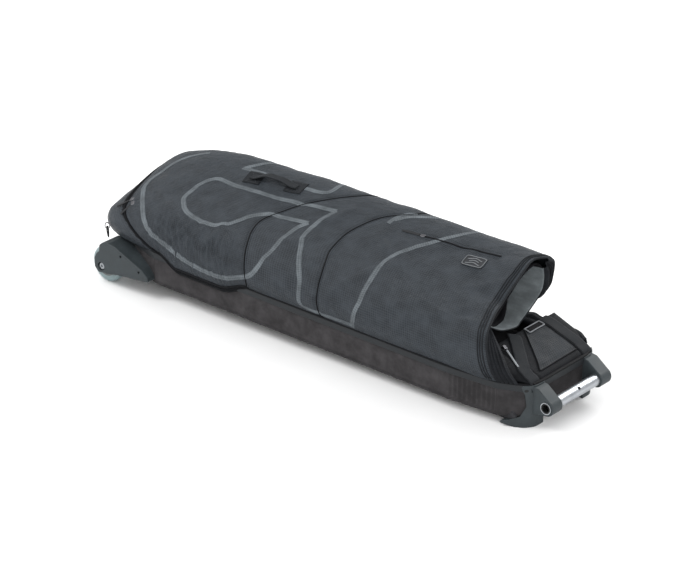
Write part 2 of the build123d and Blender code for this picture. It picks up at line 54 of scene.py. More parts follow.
# The bag's own axes: millimetres, x along the bag from its middle towards the pull tube, y to its far side,
# z up from the underside of the tray. The whole bag leans forward a little, because its wheels stand proud.
LEAN = math.radians(0.95)
RIDE_HEIGHT = 24.2
SHIFT = 3.4
RIM_HEIGHT = 92

# The cover: its cross-section over the rim, and its ridge line as (x, height over the rim, width factor).
RIDGE = 187
COVER_ARCH = [(-164, 0), (-175, 26), (-175, 56), (-160, 88), (-125, 111), (-60, 136), (0, 157), (60, 177),
              (110, 187), (145, 180), (168, 153), (176, 113), (175, 58), (170, 23), (164, 0)]
COVER_SPINE = [(-678, 0, .60), (-690, 38, .62), (-688, 75, .68), (-676, 103, .76), (-650, 127, .85),
               (-600, 147, .94), (-500, 167, .99), (-300, 179, 1), (0, 187, 1), (300, 187, 1),
               (490, 189, .98),
               (560, 186, .93), (620, 180, .86)]
CLOTH = 3.0          # thickness of the cover's padded cloth
ZIP_TOP = 193        # the main zip lies in a sloping plane: its height at the rear end of the cover
ZIP_START = -663
ZIP_SLOPE = 0.515

# Seams and edges across the cover, as (x, distance across the cover from its near foot).
SEAM_REAR = [(-186, 0), (-180, 30), (-190, 80), (-209, 125), (-226, 165), (-228, 205), (-203, 247),
             (-168, 294),
             (-105, 350), (-55, 394), (-30, 450), (-25, 520), (-25, 610)]
SEAM_FRONT = [(50, 0), (47, 20), (39, 93), (19, 145), (2, 190), (4, 260), (42, 333), (101, 383), (125, 440),
              (130, 520), (130, 610)]
MOUTH = [(560, 0), (545, 50), (520, 110), (510, 138), (497, 180), (485, 226), (482, 268), (479, 311),
         (475, 362),
         (490, 393), (500, 418), (497, 454), (486, 495), (462, 520), (428, 550), (405, 580), (400, 610)]


# ---------------------------------------------------------------- curves and the cover's surface

def smooth_path(points, step):
    """A Catmull-Rom curve through the points, sampled about every step."""
    p = np.asarray(points, float)
    p = np.vstack([2 * p[0] - p[1], p, 2 * p[-1] - p[-2]])
    out = []
    for a, b, c, d in zip(p[:-3], p[1:-2], p[2:-1], p[3:]):
        n = max(2, int(np.linalg.norm(c - b) / step))
        for q in np.linspace(0, 1, n, endpoint=False):
            out.append(0.5 * (2 * b + (c - a) * q + (2 * a - 5 * b + 4 * c - d) * q * q
                              + (3 * b - a - 3 * c + d) * q ** 3))
    return np.array(out + [p[-2]])


def lengths(path):
    return np.concatenate([[0], np.cumsum(np.linalg.norm(np.diff(path, axis=0), axis=1))])


ARCH = smooth_path(COVER_ARCH, 4)
ARCH_S = lengths(ARCH)
SPINE = smooth_path(COVER_SPINE, 4)
SPINE_T = lengths(SPINE[:, :2])
GIRTH = ARCH_S[-1]
FOOT = np.argmin(SPINE[:, 0])


def ease(low, high, x):
    q = np.clip((np.asarray(x, float) - low) / (high - low), 0, 1)
    return q * q * (3 - 2 * q)


def t_at(x):
    """How far along the spine a station in front of the rear wall is."""
    return np.interp(x, SPINE[FOOT:, 0], SPINE_T[FOOT:])


def x_at(t):
    return np.interp(t, SPINE_T, SPINE[:, 0])


def cover_point(t, s):
    """The smooth cover at t along the bag and s across it, in the bag's axes."""
    x = x_at(t)
    ridge = np.interp(t, SPINE_T, SPINE[:, 1])
    width = np.interp(t, SPINE_T, SPINE[:, 2])
    y = np.interp(s, ARCH_S, ARCH[:, 0])
    h = np.interp(s, ARCH_S, ARCH[:, 1])
    edge = 1 - ease(0, 60, np.minimum(s, GIRTH - s))
    skirt = ease(-475, -400, x) * (1 - ease(-260, -185, x)) * edge
    mouth = ease(360, 490, x)
    lift = 10 * np.exp(-((s - 350) / 55) ** 2) - 9 * np.exp(-((s - 225) / 30) ** 2)
    tuck = (34 * ease(395, 470, s) + 48 * ease(470, 535, s)) * ease(400, 500, x)
    return np.stack([x, y * width + np.sign(y) * 9 * skirt - tuck,
                     RIM_HEIGHT + h * ridge / RIDGE - 20 * skirt + lift * mouth], -1)


def zip_t(s):
    """Where the main zip crosses the cover at s across it."""
    t = np.linspace(0, t_at(-380), 900)
    p = cover_point(t, np.full_like(t, s))
    above = p[:, 2] - (ZIP_TOP - ZIP_SLOPE * (p[:, 0] - ZIP_START))
    first = int(np.argmax(above > 0))
    share = above[first - 1] / (above[first - 1] - above[first])
    return t[first - 1] + share * (t[first] - t[first - 1])


def edge_t(edge, s):
    curve = smooth_path(edge, 6)
    order = np.argsort(curve[:, 1])
    return t_at(np.interp(s, curve[order, 1], curve[order, 0]))


def field(x, y, scale, seed):
    """Smooth noise from -1 to 1 over flat coordinates in millimetres."""
    flat = [noise.noise(Vector((a / scale, b / scale, seed))) for a, b in zip(np.ravel(x), np.ravel(y))]
    return np.array(flat).reshape(np.shape(x))


def to_frame(points):
    """From the bag's axes in millimetres to the row frame in metres."""
    p = np.asarray(points, float)
    c, q = math.cos(LEAN), math.sin(LEAN)
    return np.stack([p[..., 0] * c + p[..., 2] * q + SHIFT, p[..., 1],
                     -p[..., 0] * q + p[..., 2] * c + RIDE_HEIGHT], -1) * MM


def from_frame(points):
    p = np.asarray(points, float) / MM - [SHIFT, 0, RIDE_HEIGHT]
    c, q = math.cos(LEAN), math.sin(LEAN)
    return np.stack([p[..., 0] * c - p[..., 2] * q, p[..., 1], p[..., 0] * q + p[..., 2] * c], -1)


def local_box(node):
    """A CAD node's lowest and highest corners, turned into the bag's axes."""
    low, high = from_frame(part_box(node))
    return low, high


def unit(vectors):
    return vectors / (np.linalg.norm(vectors, axis=-1, keepdims=True) + 1e-9)


def points_at(path, far, steps):
    """The points of a path at given distances, where far is the distance of each of its own points."""
    return np.stack([np.interp(steps, far, path[:, k]) for k in range(3)], -1)


# ---------------------------------------------------------------- materials

def new_material(name):
    material = bpy.data.materials.new(name)
    material.use_nodes = True
    return material, material.node_tree, material.node_tree.nodes["Principled BSDF"]


def coordinates(tree, scale, from_uv=False):
    texture = tree.nodes.new("ShaderNodeTexCoord")
    mapping = tree.nodes.new("ShaderNodeMapping")
    mapping.inputs["Scale"].default_value = (scale,) * 3 if isinstance(scale, (int, float)) else scale
    tree.links.new(texture.outputs["UV" if from_uv else "Object"], mapping.inputs["Vector"])
    return mapping.outputs["Vector"]


def noise_node(tree, vector, scale, detail=4, rough=0.6):
    node = tree.nodes.new("ShaderNodeTexNoise")
    node.inputs["Scale"].default_value = scale
    node.inputs["Detail"].default_value = detail
    node.inputs["Roughness"].default_value = rough
    tree.links.new(vector, node.inputs["Vector"])
    return node.outputs["Fac"]


def ramp(tree, value, stops):
    node = tree.nodes.new("ShaderNodeValToRGB")
    while len(node.color_ramp.elements) < len(stops):
        node.color_ramp.elements.new(0.5)
    for element, (place, colour) in zip(node.color_ramp.elements, stops):
        element.position = place
        element.color = (*colour, 1)
    tree.links.new(value, node.inputs["Fac"])
    return node.outputs["Color"]


def math_node(tree, operation, a, b):
    node = tree.nodes.new("ShaderNodeMath")
    node.operation = operation
    for socket, value in zip(node.inputs, (a, b)):
        if isinstance(value, (int, float)):
            socket.default_value = value
        else:
            tree.links.new(value, socket)
    return node.outputs["Value"]


def bump(tree, shader, height, strength, distance):
    node = tree.nodes.new("ShaderNodeBump")
    node.inputs["Strength"].default_value = strength
    node.inputs["Distance"].default_value = distance
    tree.links.new(height, node.inputs["Height"])
    tree.links.new(node.outputs["Normal"], shader.inputs["Normal"])


def wave(tree, vector, scale, axis):
    node = tree.nodes.new("ShaderNodeTexWave")
    node.bands_direction = axis
    node.inputs["Scale"].default_value = scale
    node.inputs["Distortion"].default_value = 0.6
    node.inputs["Detail Scale"].default_value = 0.3
    tree.links.new(vector, node.inputs["Vector"])
    return node.outputs["Fac"]


WAVE = math.tau / 20      # a wave texture's scale for a period of one metre


SHINE = 0.12              # specular level of all the cloth, which is matt
WEAVE_DEPTH = 0.0004
CRUMPLE_SCALE = 15
SPOT_SCALE = 24


def shade(colour, factor):
    return tuple(min(1, c * factor) for c in colour)


def finish_shader(tree, shader, tint, stops, unevenness, low, high):
    """Colour from one texture and roughness from another."""
    tree.links.new(ramp(tree, tint, stops), shader.inputs["Base Color"])
    uneven = ramp(tree, unevenness, [(0.3, (low,) * 3), (0.7, (high,) * 3)])
    tree.links.new(uneven, shader.inputs["Roughness"])


def fabric(name, colour, thread, grid=None, rough=0.75, sheen=0.05, from_uv=True, contrast=0.25, crumple=0.0):
    """Woven cloth: threads of a given pitch in metres, for ripstop a stronger thread every grid metres,
    and fine crumples of the given height."""
    material, tree, shader = new_material(name)
    vector = coordinates(tree, 1, from_uv)
    threads_xy = [wave(tree, vector, WAVE / thread, axis) for axis in "XY"]
    weave = math_node(tree, "MAXIMUM", *threads_xy)
    if grid:
        lines = [math_node(tree, "POWER", wave(tree, vector, WAVE / grid, axis), 10.0)
                 for axis in "XY"]
        weave = math_node(tree, "ADD", math_node(tree, "MULTIPLY", weave, 0.5),
                          math_node(tree, "MAXIMUM", *lines))
    spots = noise_node(tree, vector, SPOT_SCALE, 7)
    mixed = math_node(tree, "ADD", math_node(tree, "MULTIPLY", weave, contrast), spots)
    stops = [(0.3, shade(colour, 0.6)), (0.6, colour), (0.92, shade(colour, 2.0))]
    finish_shader(tree, shader, mixed, stops, spots, rough - 0.1, rough + 0.1)
    shader.inputs["Sheen Weight"].default_value = sheen
    shader.inputs["Sheen Roughness"].default_value = 0.4
    shader.inputs["Sheen Tint"].default_value = (0.75, 0.86, 1.0, 1)
    shader.inputs["Specular IOR Level"].default_value = SHINE
    if crumple:
        creases = noise_node(tree, vector, CRUMPLE_SCALE, 7, 0.62)
        fine = math_node(tree, "MULTIPLY", weave, WEAVE_DEPTH / crumple)
        bump(tree, shader, math_node(tree, "ADD", fine, creases), 0.8, crumple)
    else:
        bump(tree, shader, weave, 0.35, WEAVE_DEPTH)
    return material


def moulded(name, colour, rough=0.5, grain=1100, depth=0.00012, wear=1.3):
    """Moulded plastic or rubber with a fine spark-eroded grain."""
    material, tree, shader = new_material(name)
    vector = coordinates(tree, 1)
    grains = noise_node(tree, vector, grain, 3)
    clouds = noise_node(tree, vector, 26, 5)
    stops = [(0.3, shade(colour, 0.8)), (0.55, colour), (0.75, shade(colour, wear))]
    finish_shader(tree, shader, clouds, stops, clouds, rough - 0.08, rough + 0.1)
    shader.inputs["Specular IOR Level"].default_value = 0.28
    bump(tree, shader, grains, 0.4, depth)
    return material


def metal(name, colour, rough, stretch=(30, 30, 30), depth=0.00004):
    """Metal with a drawn or turned finish: stretch squeezes its scratches along one axis."""
    material, tree, shader = new_material(name)
    scratches = noise_node(tree, coordinates(tree, stretch), 30, 8, 0.7)
    clouds = noise_node(tree, coordinates(tree, 1), 40, 3)
    stops = [(0.3, shade(colour, 0.85)), (0.7, shade(colour, 1.08))]
    finish_shader(tree, shader, clouds, stops, scratches, rough - 0.08, rough + 0.12)
    shader.inputs["Metallic"].default_value = 1.0
    bump(tree, shader, scratches, 0.25, depth)
    return material


def urethane():
    """Milky cast urethane: cloudy, soft-edged and slightly see-through."""
    material = moulded("tyre_urethane", (0.28, 0.37, 0.385), 0.32, 500, 0.00005, 1.1)
    shader = material.node_tree.nodes["Principled BSDF"]
    shader.inputs["Transmission Weight"].default_value = 0.35
    shader.inputs["Subsurface Weight"].default_value = 0.25
    shader.inputs["Subsurface Radius"].default_value = (0.01, 0.012, 0.012)
    shader.inputs["Coat Weight"].default_value = 0.2
    return material


CHARCOAL = (0.0215, 0.0250, 0.0292)
MATERIALS = {
    "cover": fabric("cover_ripstop", CHARCOAL, 0.0012, 0.0056, 0.44, 0.015, contrast=0.45, crumple=0.012),
    "panel": fabric("panel_ripstop", shade(CHARCOAL, 0.62), 0.0012, 0.0056, 0.5, 0.01, contrast=0.45,
                    crumple=0.006),
    "cover_gusset": fabric("gusset_cloth", (0.0110, 0.0122, 0.0145), 0.0011, 0.0042, 0.6, 0.015,
                           crumple=0.004),
    "tray": fabric("tray_cloth", (0.0265, 0.0250, 0.0262), 0.0012, None, 0.85, 0.01, False),
    "end": fabric("end_cloth", (0.0085, 0.0093, 0.0108), 0.0012, None, 0.7, 0.01, crumple=0.005),
    "lining": fabric("lining_cloth", (0.150, 0.168, 0.176), 0.0008, None, 0.6, 0.03, contrast=0.12),
    # Near-black cloth: painted shade for the lining deep in the mouth and for the folded walls inside the
    # bag; also the dark ground of the label window.
    "lining_dark": fabric("lining_shadow_cloth", (0.004, 0.004, 0.005), 0.0010, None, 0.8, 0.005),
    "webbing": fabric("webbing", (0.0085, 0.0095, 0.0108), 0.0018, None, 0.7, 0.015, contrast=0.6),
    "webbing_grey": fabric("webbing_grey", (0.110, 0.115, 0.122), 0.0018, None, 0.7, 0.05, contrast=0.6),
    "tape": fabric("zip_tape", (0.0040, 0.0043, 0.0050), 0.0009, None, 0.8, 0.008, contrast=0.5),
    "print": fabric("grey_print", (0.074, 0.084, 0.092), 0.0012, 0.0056, 0.5, 0.02, contrast=0.3,
                    crumple=0.006),
    "stitch": fabric("stitching", (0.0035, 0.0038, 0.0045), 0.0006, None, 0.6, 0.01),
    "thread": fabric("light_thread", (0.045, 0.048, 0.053), 0.0006, None, 0.6, 0.05),
    "braid": fabric("braid", (0.17, 0.18, 0.19), 0.0016, None, 0.7, 0.05, contrast=0.6),
    "foam": fabric("foam", (0.02, 0.02, 0.022), 0.0015, None, 0.95, 0.02, False),
    "rim": moulded("rim_plastic", (0.0165, 0.0190, 0.0215), 0.55),
    "plastic": moulded("moulded_plastic", (0.033, 0.041, 0.045), 0.5),
    "dark_plastic": moulded("dark_plastic", (0.008, 0.0085, 0.009), 0.45),
    "board": moulded("board_plastic", (0.018, 0.018, 0.020), 0.6),
    "rod": moulded("rod_plastic", (0.02, 0.02, 0.022), 0.4),
    "hub": moulded("hub_plastic", (0.16, 0.17, 0.17), 0.4, 800),
    "rubber": moulded("pull_rubber", (0.014, 0.015, 0.017), 0.55, 1500),
    "badge": moulded("badge_metal", (0.15, 0.16, 0.17), 0.42, 900, 0.0001),
    "badge_back": moulded("badge_ground", (0.030, 0.032, 0.036), 0.42, 900, 0.0001),
    "tube": metal("tube_aluminium", (0.40, 0.42, 0.445), 0.34, (400, 4, 400)),
    "steel": metal("fastener_steel", (0.36, 0.38, 0.40), 0.36),
    "zip_metal": metal("zip_metal", (0.14, 0.14, 0.15), 0.36),
    "ring": metal("ring_metal", (0.30, 0.30, 0.31), 0.3),
    "urethane": urethane(),
}

NODE_MATERIALS = {
    "rim": ["base_rim_band", "skid_rails"],
    "plastic": ["corner_bracket_near", "corner_bracket_far", "wheel_housing_near", "wheel_housing_far"],
    "dark_plastic": ["axle_spacers_near", "axle_spacers_far", "bracket_rivets", "housing_screws",
                     "handle_end_bushes"],
    "tray": ["base_tub"],
    "board": ["floor_board"],
    "rod": ["stiffening_rods"],
    "hub": ["wheel_hub_near", "wheel_hub_far"],
    "rubber": ["pocket_zip_pull", "main_zip_upper_pull", "main_zip_lower_pull", "front_zip_pull"],
    "badge": ["badge_plate"],
    "tube": ["handle_tube"],
    "steel": ["axle_bolt_near", "axle_bolt_far", "axle_nut_near", "axle_nut_far",
              "wheel_bearings_near", "wheel_bearings_far"],
    "zip_metal": ["pocket_zip_slider", "main_zip_upper_slider", "main_zip_lower_slider", "front_zip_slider"],
    "ring": ["rear_ring"],
    "urethane": ["wheel_tyre_near", "wheel_tyre_far"],
}


def finish_nodes():
    for key, names in NODE_MATERIALS.items():
        for name in names:
            mesh = NODES[name].data
            mesh.materials.clear()
            mesh.materials.append(MATERIALS[key])


# ---------------------------------------------------------------- meshes

def add_mesh(name, points, faces, material, body="bag", slot=None, uv=None):
    mesh = bpy.data.meshes.new(name)
    mesh.from_pydata([tuple(p) for p in to_frame(points)], [], faces)
    if uv is not None:
        layer = mesh.uv_layers.new(name="weave")
        corner = np.zeros(len(mesh.loops), np.int64)
        mesh.loops.foreach_get("vertex_index", corner)
        layer.data.foreach_set("uv", np.asarray(uv, float)[corner].astype(np.float32).ravel())
    mesh.materials.append(MATERIALS[material])
    mesh.shade_smooth()
    obj = bpy.data.objects.new(name, mesh)
    bpy.context.scene.collection.objects.link(obj)
    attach(obj, body)
    return obj


def grid(name, points, material, thick=None, wrap=False, **options):
    """A sheet from rows of points.
    With thick it is closed into a solid that grows away from its outer face."""
    points = np.asarray(points, float)
    rows, columns = points.shape[:2]
    along = lengths(points[:, columns // 2])
    across = lengths(points[rows // 2])
    uv = np.stack(np.meshgrid(along * MM, across * MM, indexing="ij"), -1).reshape(-1, 2)
    last = columns if wrap else columns - 1
    faces = [(i * columns + j, (i + 1) * columns + j, (i + 1) * columns + (j + 1) % columns,
              i * columns + (j + 1) % columns) for i in range(rows - 1) for j in range(last)]
    obj = add_mesh(name, points.reshape(-1, 3), faces, material, uv=uv, **options)
    if thick:
        solid = obj.modifiers.new("thickness", "SOLIDIFY")
        solid.thickness = thick * MM
        solid.offset = -1
        solid.use_rim = True
    return obj


def directions(path, closed=False):
    path = np.asarray(path, float)
    if closed:
        run = np.roll(path, -1, 0) - np.roll(path, 1, 0)
    else:
        run = np.gradient(path, axis=0)
    return unit(run)


def sweep(name, path, ups, section, material, closed=False, **options):
    """Sweeps a closed section of (side, up) offsets along a path whose up direction is given at each
    point."""
    path = np.asarray(path, float)
    run = directions(path, closed)
    ups = np.broadcast_to(np.asarray(ups, float), path.shape)
    side = unit(np.cross(ups, run))
    up = np.cross(run, side)
    section = np.asarray(section, float)
    rings = path[:, None] + side[:, None] * section[None, :, :1] + up[:, None] * section[None, :, 1:]
    rows, columns = rings.shape[:2]
    faces = [((i + 1) % rows * columns + j, i * columns + j, i * columns + (j + 1) % columns,
              (i + 1) % rows * columns + (j + 1) % columns)
             for i in range(rows if closed else rows - 1) for j in range(columns)]
    if not closed:
        faces += [tuple(range(columns)), tuple((rows - 1) * columns + j for j in reversed(range(columns)))]
    along = np.repeat(lengths(path) * MM, columns)
    across = np.tile(lengths(section) * MM, rows)
    return add_mesh(name, rings.reshape(-1, 3), faces, material, uv=np.stack([along, across], -1), **options)


def round_section(radius, sides=10):
    return [(radius * math.cos(math.tau * k / sides), radius * math.sin(math.tau * k / sides))
            for k in range(sides)]


def flat_section(width, thick, columns=5):
    """A strap's section: flat below, slightly crowned above, with soft edges."""
    across = np.linspace(-width / 2, width / 2, columns)
    top = [(a, thick * (1 - 0.35 * (2 * a / width) ** 6)) for a in across]
    return [(-width / 2, 0), (width / 2, 0)] + top[::-1]


def tube(name, path, radius, material, ups=(0, 0, 1), **options):
    return sweep(name, path, ups, round_section(radius), material, **options)


# ---------------------------------------------------------------- the cover

def gathers(x, s):
    """Elastic gathers in the strip of cloth over the near lower edge of the rear panel."""
    wander = 26 * field(x, s, 70, 3.1) + 9 * field(x, s, 24, 7.7)
    broad = np.sin((x + wander + 0.3 * s) / 25 * math.tau)
    ridges = broad + 0.6 * np.sin((x - wander + 0.2 * s) / 14 * math.tau)
    reach = ease(-540, -450, x) * (1 - ease(-260, -185, x)) * np.exp(-((s - 72) / 52) ** 2)
    patchy = 0.45 + 0.9 * np.clip(field(x, s, 33, 5.2) + 0.4, 0, 1)
    return 1.9 * ridges * reach * patchy


FOLDS = [  # soft folds: (x, s) from, (x, s) to, height, half width
    ((-150, 150), (-20, 240), 3.0, 14), ((-190, 120), (-60, 90), 2.6, 12), ((-30, 60), (20, 220), -3, 12),
    ((60, 60), (180, 230), 3.2, 16), ((120, 40), (330, 150), 3.5, 18), ((300, 60), (470, 170), -4.0, 16),
    ((380, 220), (475, 300), 3.0, 12), ((200, 260), (330, 380), -2.5, 16), ((-560, 200), (-420, 120),
    2.5, 14),
    ((-480, 220), (-300, 250), -2.6, 16), ((-330, 180), (-240, 90), 3.2, 12), ((70, 300), (140, 240),
    3.0, 10),
    ((420, 90), (505, 120), 4.5, 12), ((350, 130), (500, 140), 3.5, 12), ((-90, 250), (-40, 340), 3.0, 14),
    ((-420, 70), (-380, 150), 2.8, 9), ((-380, 60), (-350, 140), 2.8, 9), ((-340, 60), (-300, 150), 2.6, 9),
    ((250, 20), (300, 90), 3.0, 14), ((430, 20), (470, 90), -3.0, 12), ((-20, 20), (40, 60), 2.5, 12),
]


def fold_height(x, s):
    total = np.zeros_like(x)
    for (x0, s0), (x1, s1), height, half in FOLDS:
        d = np.array([x1 - x0, s1 - s0], float)
        long = np.linalg.norm(d)
        d /= long
        q = ((x - x0) * d[0] + (s - s0) * d[1]) / long
        off = -(x - x0) * d[1] + (s - s0) * d[0] + 8 * np.sin(q * 3)
        total += height * np.exp(-(off / half) ** 2) * ease(-0.15, 0.25, q) * (1 - ease(0.75, 1.15, q))
    return total


def panel_surface(start, stop, step, puff):
    """The points of one cover panel between two edges given as functions of s, puffed between its seams."""
    s = np.linspace(0, GIRTH, int(GIRTH / step))
    a = np.array([start(v) for v in s])
    b = np.array([stop(v) for v in s])
    q = np.linspace(0, 1, max(12, int(np.max(b - a) / step)))[:, None]
    t = a[None] + (b - a)[None] * q
    ss = np.broadcast_to(s, t.shape)
    p = cover_point(t, ss)
    n = unit(np.cross(np.gradient(p, axis=0), np.gradient(p, axis=1)))
    x = x_at(t)
    seam = np.minimum(np.minimum(t - a, b - t), 60)
    foot = np.minimum(ss, GIRTH - ss)
    pillow = puff * (1 - np.exp(-seam / 11)) * (0.35 + 0.65 * ease(0, 40, foot))
    calm = ease(0, 16, seam) * ease(0, 26, foot)
    rough = 2.6 * field(x, ss, 95, 0.3) + 1.5 * field(x, ss * 0.8, 38, 1.7) + 0.55 * field(x, ss, 13, 2.9)
    lifted = pillow + calm * (rough + 1.1 * fold_height(x, ss)) + gathers(x, ss) * ease(0, 8, seam)
    return p + n * lifted[..., None], n


def build_cover():
    panels = {
        "cover_rear_end": (lambda s: 0.0, zip_t, 2, "rear_end_panel", "end_fabric", "cover"),
        "cover_rear": (zip_t, lambda s: edge_t(SEAM_REAR, s), 3.5,
                       "cover_rear_panel", "cover_fabric", "cover"),
        "cover_middle": (lambda s: edge_t(SEAM_REAR, s), lambda s: edge_t(SEAM_FRONT, s), 3,
                         "cover_middle_panel", "cover_fabric", "cover"),
        "cover_front": (lambda s: edge_t(SEAM_FRONT, s), lambda s: edge_t(MOUTH, s), 3,
                        "cover_front_panel", "cover_fabric", "cover"),
    }
    surfaces = {}
    for name, (start, stop, puff, node, slot, material) in panels.items():
        points, normals = panel_surface(start, stop, 3.2, puff)
        obj = grid(name, points, material, CLOTH, slot=slot)
        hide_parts(node)
        surfaces[name] = (points, normals)
    return surfaces


def cloth_sheet(points):
    """Measures the longest line of a piece's points down its rows; the result is not used."""
    p = np.asarray(points, float) * MM
    length = max(lengths(column)[-1] for column in p.transpose(1, 0, 2))


def cover_tree(surfaces):
    points, faces = [], []
    for p, _ in surfaces.values():
        rows, columns = p.shape[:2]
        base = len(points)
        points += [Vector(v) for v in p.reshape(-1, 3)]
        faces += [(base + i * columns + j, base + (i + 1) * columns + j, base + (i + 1) * columns + j + 1,
                   base + i * columns + j + 1) for i in range(rows - 1) for j in range(columns - 1)]
    return BVHTree.FromPolygons(points, faces)


def snap(tree, points, lift=0.0):
    """The nearest points of the cover, raised by lift, and the normals there."""
    flat = np.asarray(points, float).reshape(-1, 3)
    found = [tree.find_nearest(Vector(p)) for p in flat]
    at = np.array([f[0] for f in found])
    up = np.array([f[1] for f in found])
    return (at + up * np.reshape(lift, (-1, 1))).reshape(np.shape(points)), up.reshape(np.shape(points))


def on_cover(tree, stations, step=4):
    """A path of (x, s) stations laid on the cover: points and normals."""
    flat = smooth_path(stations, step)
    return snap(tree, cover_point(t_at(flat[:, 0]), flat[:, 1]))


def laid_band(name, tree, path, normals, width, material, lift, columns=7, thick=0.6, **options):
    """A thin band of cloth along a path on the cover, following every wrinkle under it."""
    side = unit(np.cross(normals, directions(path)))
    across = np.linspace(-width / 2, width / 2, columns)
    wide = path[:, None] + side[:, None] * across[None, :, None]
    crown = lift + thick * (1 - (np.abs(np.linspace(-1, 1, columns)) ** 4))
    laid, _ = snap(tree, wide, np.tile(crown, len(path)))
    return grid(name, laid, material, None, **options)


PRINT_WIDTH = 13
PRINTS = [  # broad printed lines on the cover, as (x, s) stations
    [(-545, 379), (-601, 340), (-624, 258), (-620, 205), (-601, 174), (-568, 136), (-518, 84), (-481, 60),
     (-424, 44), (-376, 34), (-319, 29), (-268, 28), (-214, 31), (-170, 45), (-146, 72), (-132, 118),
     (-130, 164), (-125, 212), (-109, 240)],
    [(-373, 281), (-412, 285), (-447, 284), (-471, 251), (-474, 197), (-454, 169),
     (-430, 151), (-383, 138), (-339, 136), (-305, 148),
     (-281, 174), (-261, 200), (-231, 226), (-212, 232),
     (-190, 230)],
    [(-373, 281), (-288, 284), (-197, 289), (-71, 304)],
    [(-359, 409), (-403, 350)],
    [(-410, 348), (-336, 348), (-264, 345), (-146, 350), (-139, 417)],
    [(-71, 304), (-88, 251), (-88, 197), (-61, 148), (-14, 77), (-5, 26), (44, 15), (149, 18)],
    [(-190, 230), (-109, 240)],
    [(149, 10), (169, 77), (163, 128), (156, 174), (159, 228), (183, 274), (214, 310), (264, 379),
    (285, 414)],
    [(75, 320), (81, 361), (108, 391)],
    [(81, 338), (108, 368), (163, 407)],
]


def build_prints(tree):
    for k, stations in enumerate(PRINTS):
        path, normals = on_cover(tree, stations, 3)
        laid_band(f"cover_print_{k}", tree, path, normals, PRINT_WIDTH, "print", 0.35, 9, 0.25,
                  slot="cover_fabric")


def seam_line(name, tree, stations, width=7):
    """A felled seam: a thin raised welt with a row of stitches on each side."""
    path, normals = on_cover(tree, stations, 3)
    welt = tube(name + "_welt", path + normals * 0.6, 1.5, "stitch", ups=normals, slot="binding")
    for side_name, offset in (("a", -width), ("b", width)):
        side = np.cross(normals, directions(path))
        stitches(f"{name}_stitches_{side_name}", tree, path + side * offset)
    return welt


def threads(name, rows, material):
    """Short closed threads, each given as its rings of (centre, side, rise)."""
    points, faces = [], []
    for rings in rows:
        base = len(points)
        for centre, side, rise in rings:
            points += [centre - side, centre + rise, centre + side, centre - rise]
        last = len(points) - 4
        faces += [(ring + j, ring + (j + 1) % 4, ring + 4 + (j + 1) % 4, ring + 4 + j)
                  for ring in range(base, last, 4) for j in range(4)]
        faces += [(base + 3, base + 2, base + 1, base), (last, last + 1, last + 2, last + 3)]
    return add_mesh(name, points, faces, material, uv=np.asarray(points)[:, :2] * MM, slot="binding")


STITCH_PITCH, STITCH_LENGTH, STITCH_RADIUS = 4.2, 2.8, 0.35


def stitches(name, tree, path):
    """A row of short threads lying along a path on the cover, each thinner at its ends."""
    far = lengths(path)
    rows = []
    for a in np.arange(0, far[-1] - STITCH_LENGTH, STITCH_PITCH):
        (p0, p1), (up, _) = snap(tree, points_at(path, far, (a, a + STITCH_LENGTH)), [0.25, 0.25])
        side, rise = unit(np.cross(up, p1 - p0)) * STITCH_RADIUS, up * STITCH_RADIUS
        rows.append([(p0, side * 0.4, rise * 0.4), ((p0 + p1) / 2 + rise, side, rise),
                     (p1, side * 0.4, rise * 0.4)])
    return threads(name, rows, "stitch")


# ---------------------------------------------------------------- zips

COIL_RADIUS, COIL_PITCH = 1.5, 1.7


def coil(name, path, ups):
    """A zip's coil: a bead whose thickness beats once a tooth."""
    far = lengths(path)
    steps = np.arange(0, far[-1], COIL_PITCH / 3)
    fine, up = points_at(path, far, steps), points_at(ups, far, steps)
    beat = np.where(np.arange(len(steps)) % 3 == 0, 1.25, 0.85)[:, None, None]
    side = unit(np.cross(up, directions(fine)))
    section = np.array(round_section(COIL_RADIUS, 6)) * [1.5, 1]
    rings = fine[:, None] + (side[:, None] * section[None, :, :1] + up[:, None] * section[None, :, 1:]) * beat
    return grid(name, rings, "tape", None, wrap=True, slot="zip_tape")


def zip_band(name, path, ups, width, node=None):
    tape = sweep(name, path, ups, flat_section(width, 0.9, 7), "tape", slot="zip_tape")
    lift = np.asarray(ups) * 1.6
    coil(name + "_coil", path + lift, ups)
    if node:
        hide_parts(node)
    return tape


def smoothed(values, turns=3):
    out = np.asarray(values, float)
    for _ in range(turns):
        out[1:-1] = (out[:-2] + 2 * out[1:-1] + out[2:]) / 4
    return out


def build_main_zip(surfaces):
    points, normals = surfaces["cover_rear"]
    over = points[0]
    over_up = normals[2]
    near = points[:, 0][::-1]
    far = points[:, -1]
    near_up = normals[:, 1][::-1]
    far_up = normals[:, -2]
    path = np.vstack([near[:-1], over, far[1:]])
    ups = np.vstack([near_up[:-1], over_up, far_up[1:]])
    path, ups = smoothed(path, 6), unit(smoothed(ups, 12))
    keep = np.concatenate([[True], np.linalg.norm(np.diff(path, axis=0), axis=1) > 0.3])
    zip_band("main_zip", path[keep] + ups[keep] * 0.8, ups[keep], 20, "main_zip_tape")


POCKET_HEADING, POCKET_LENGTH = 5.5, 225      # degrees, millimetres


ABOVE = 400               # a height over the whole bag


def dropped(tree, x, y):
    """The cover's points under given places."""
    return np.array([tree.ray_cast(Vector((a, b, ABOVE)), Vector((0, 0, -1)))[0] for a, b in zip(x, y)])


BADGE_SIZE = (54, 30)


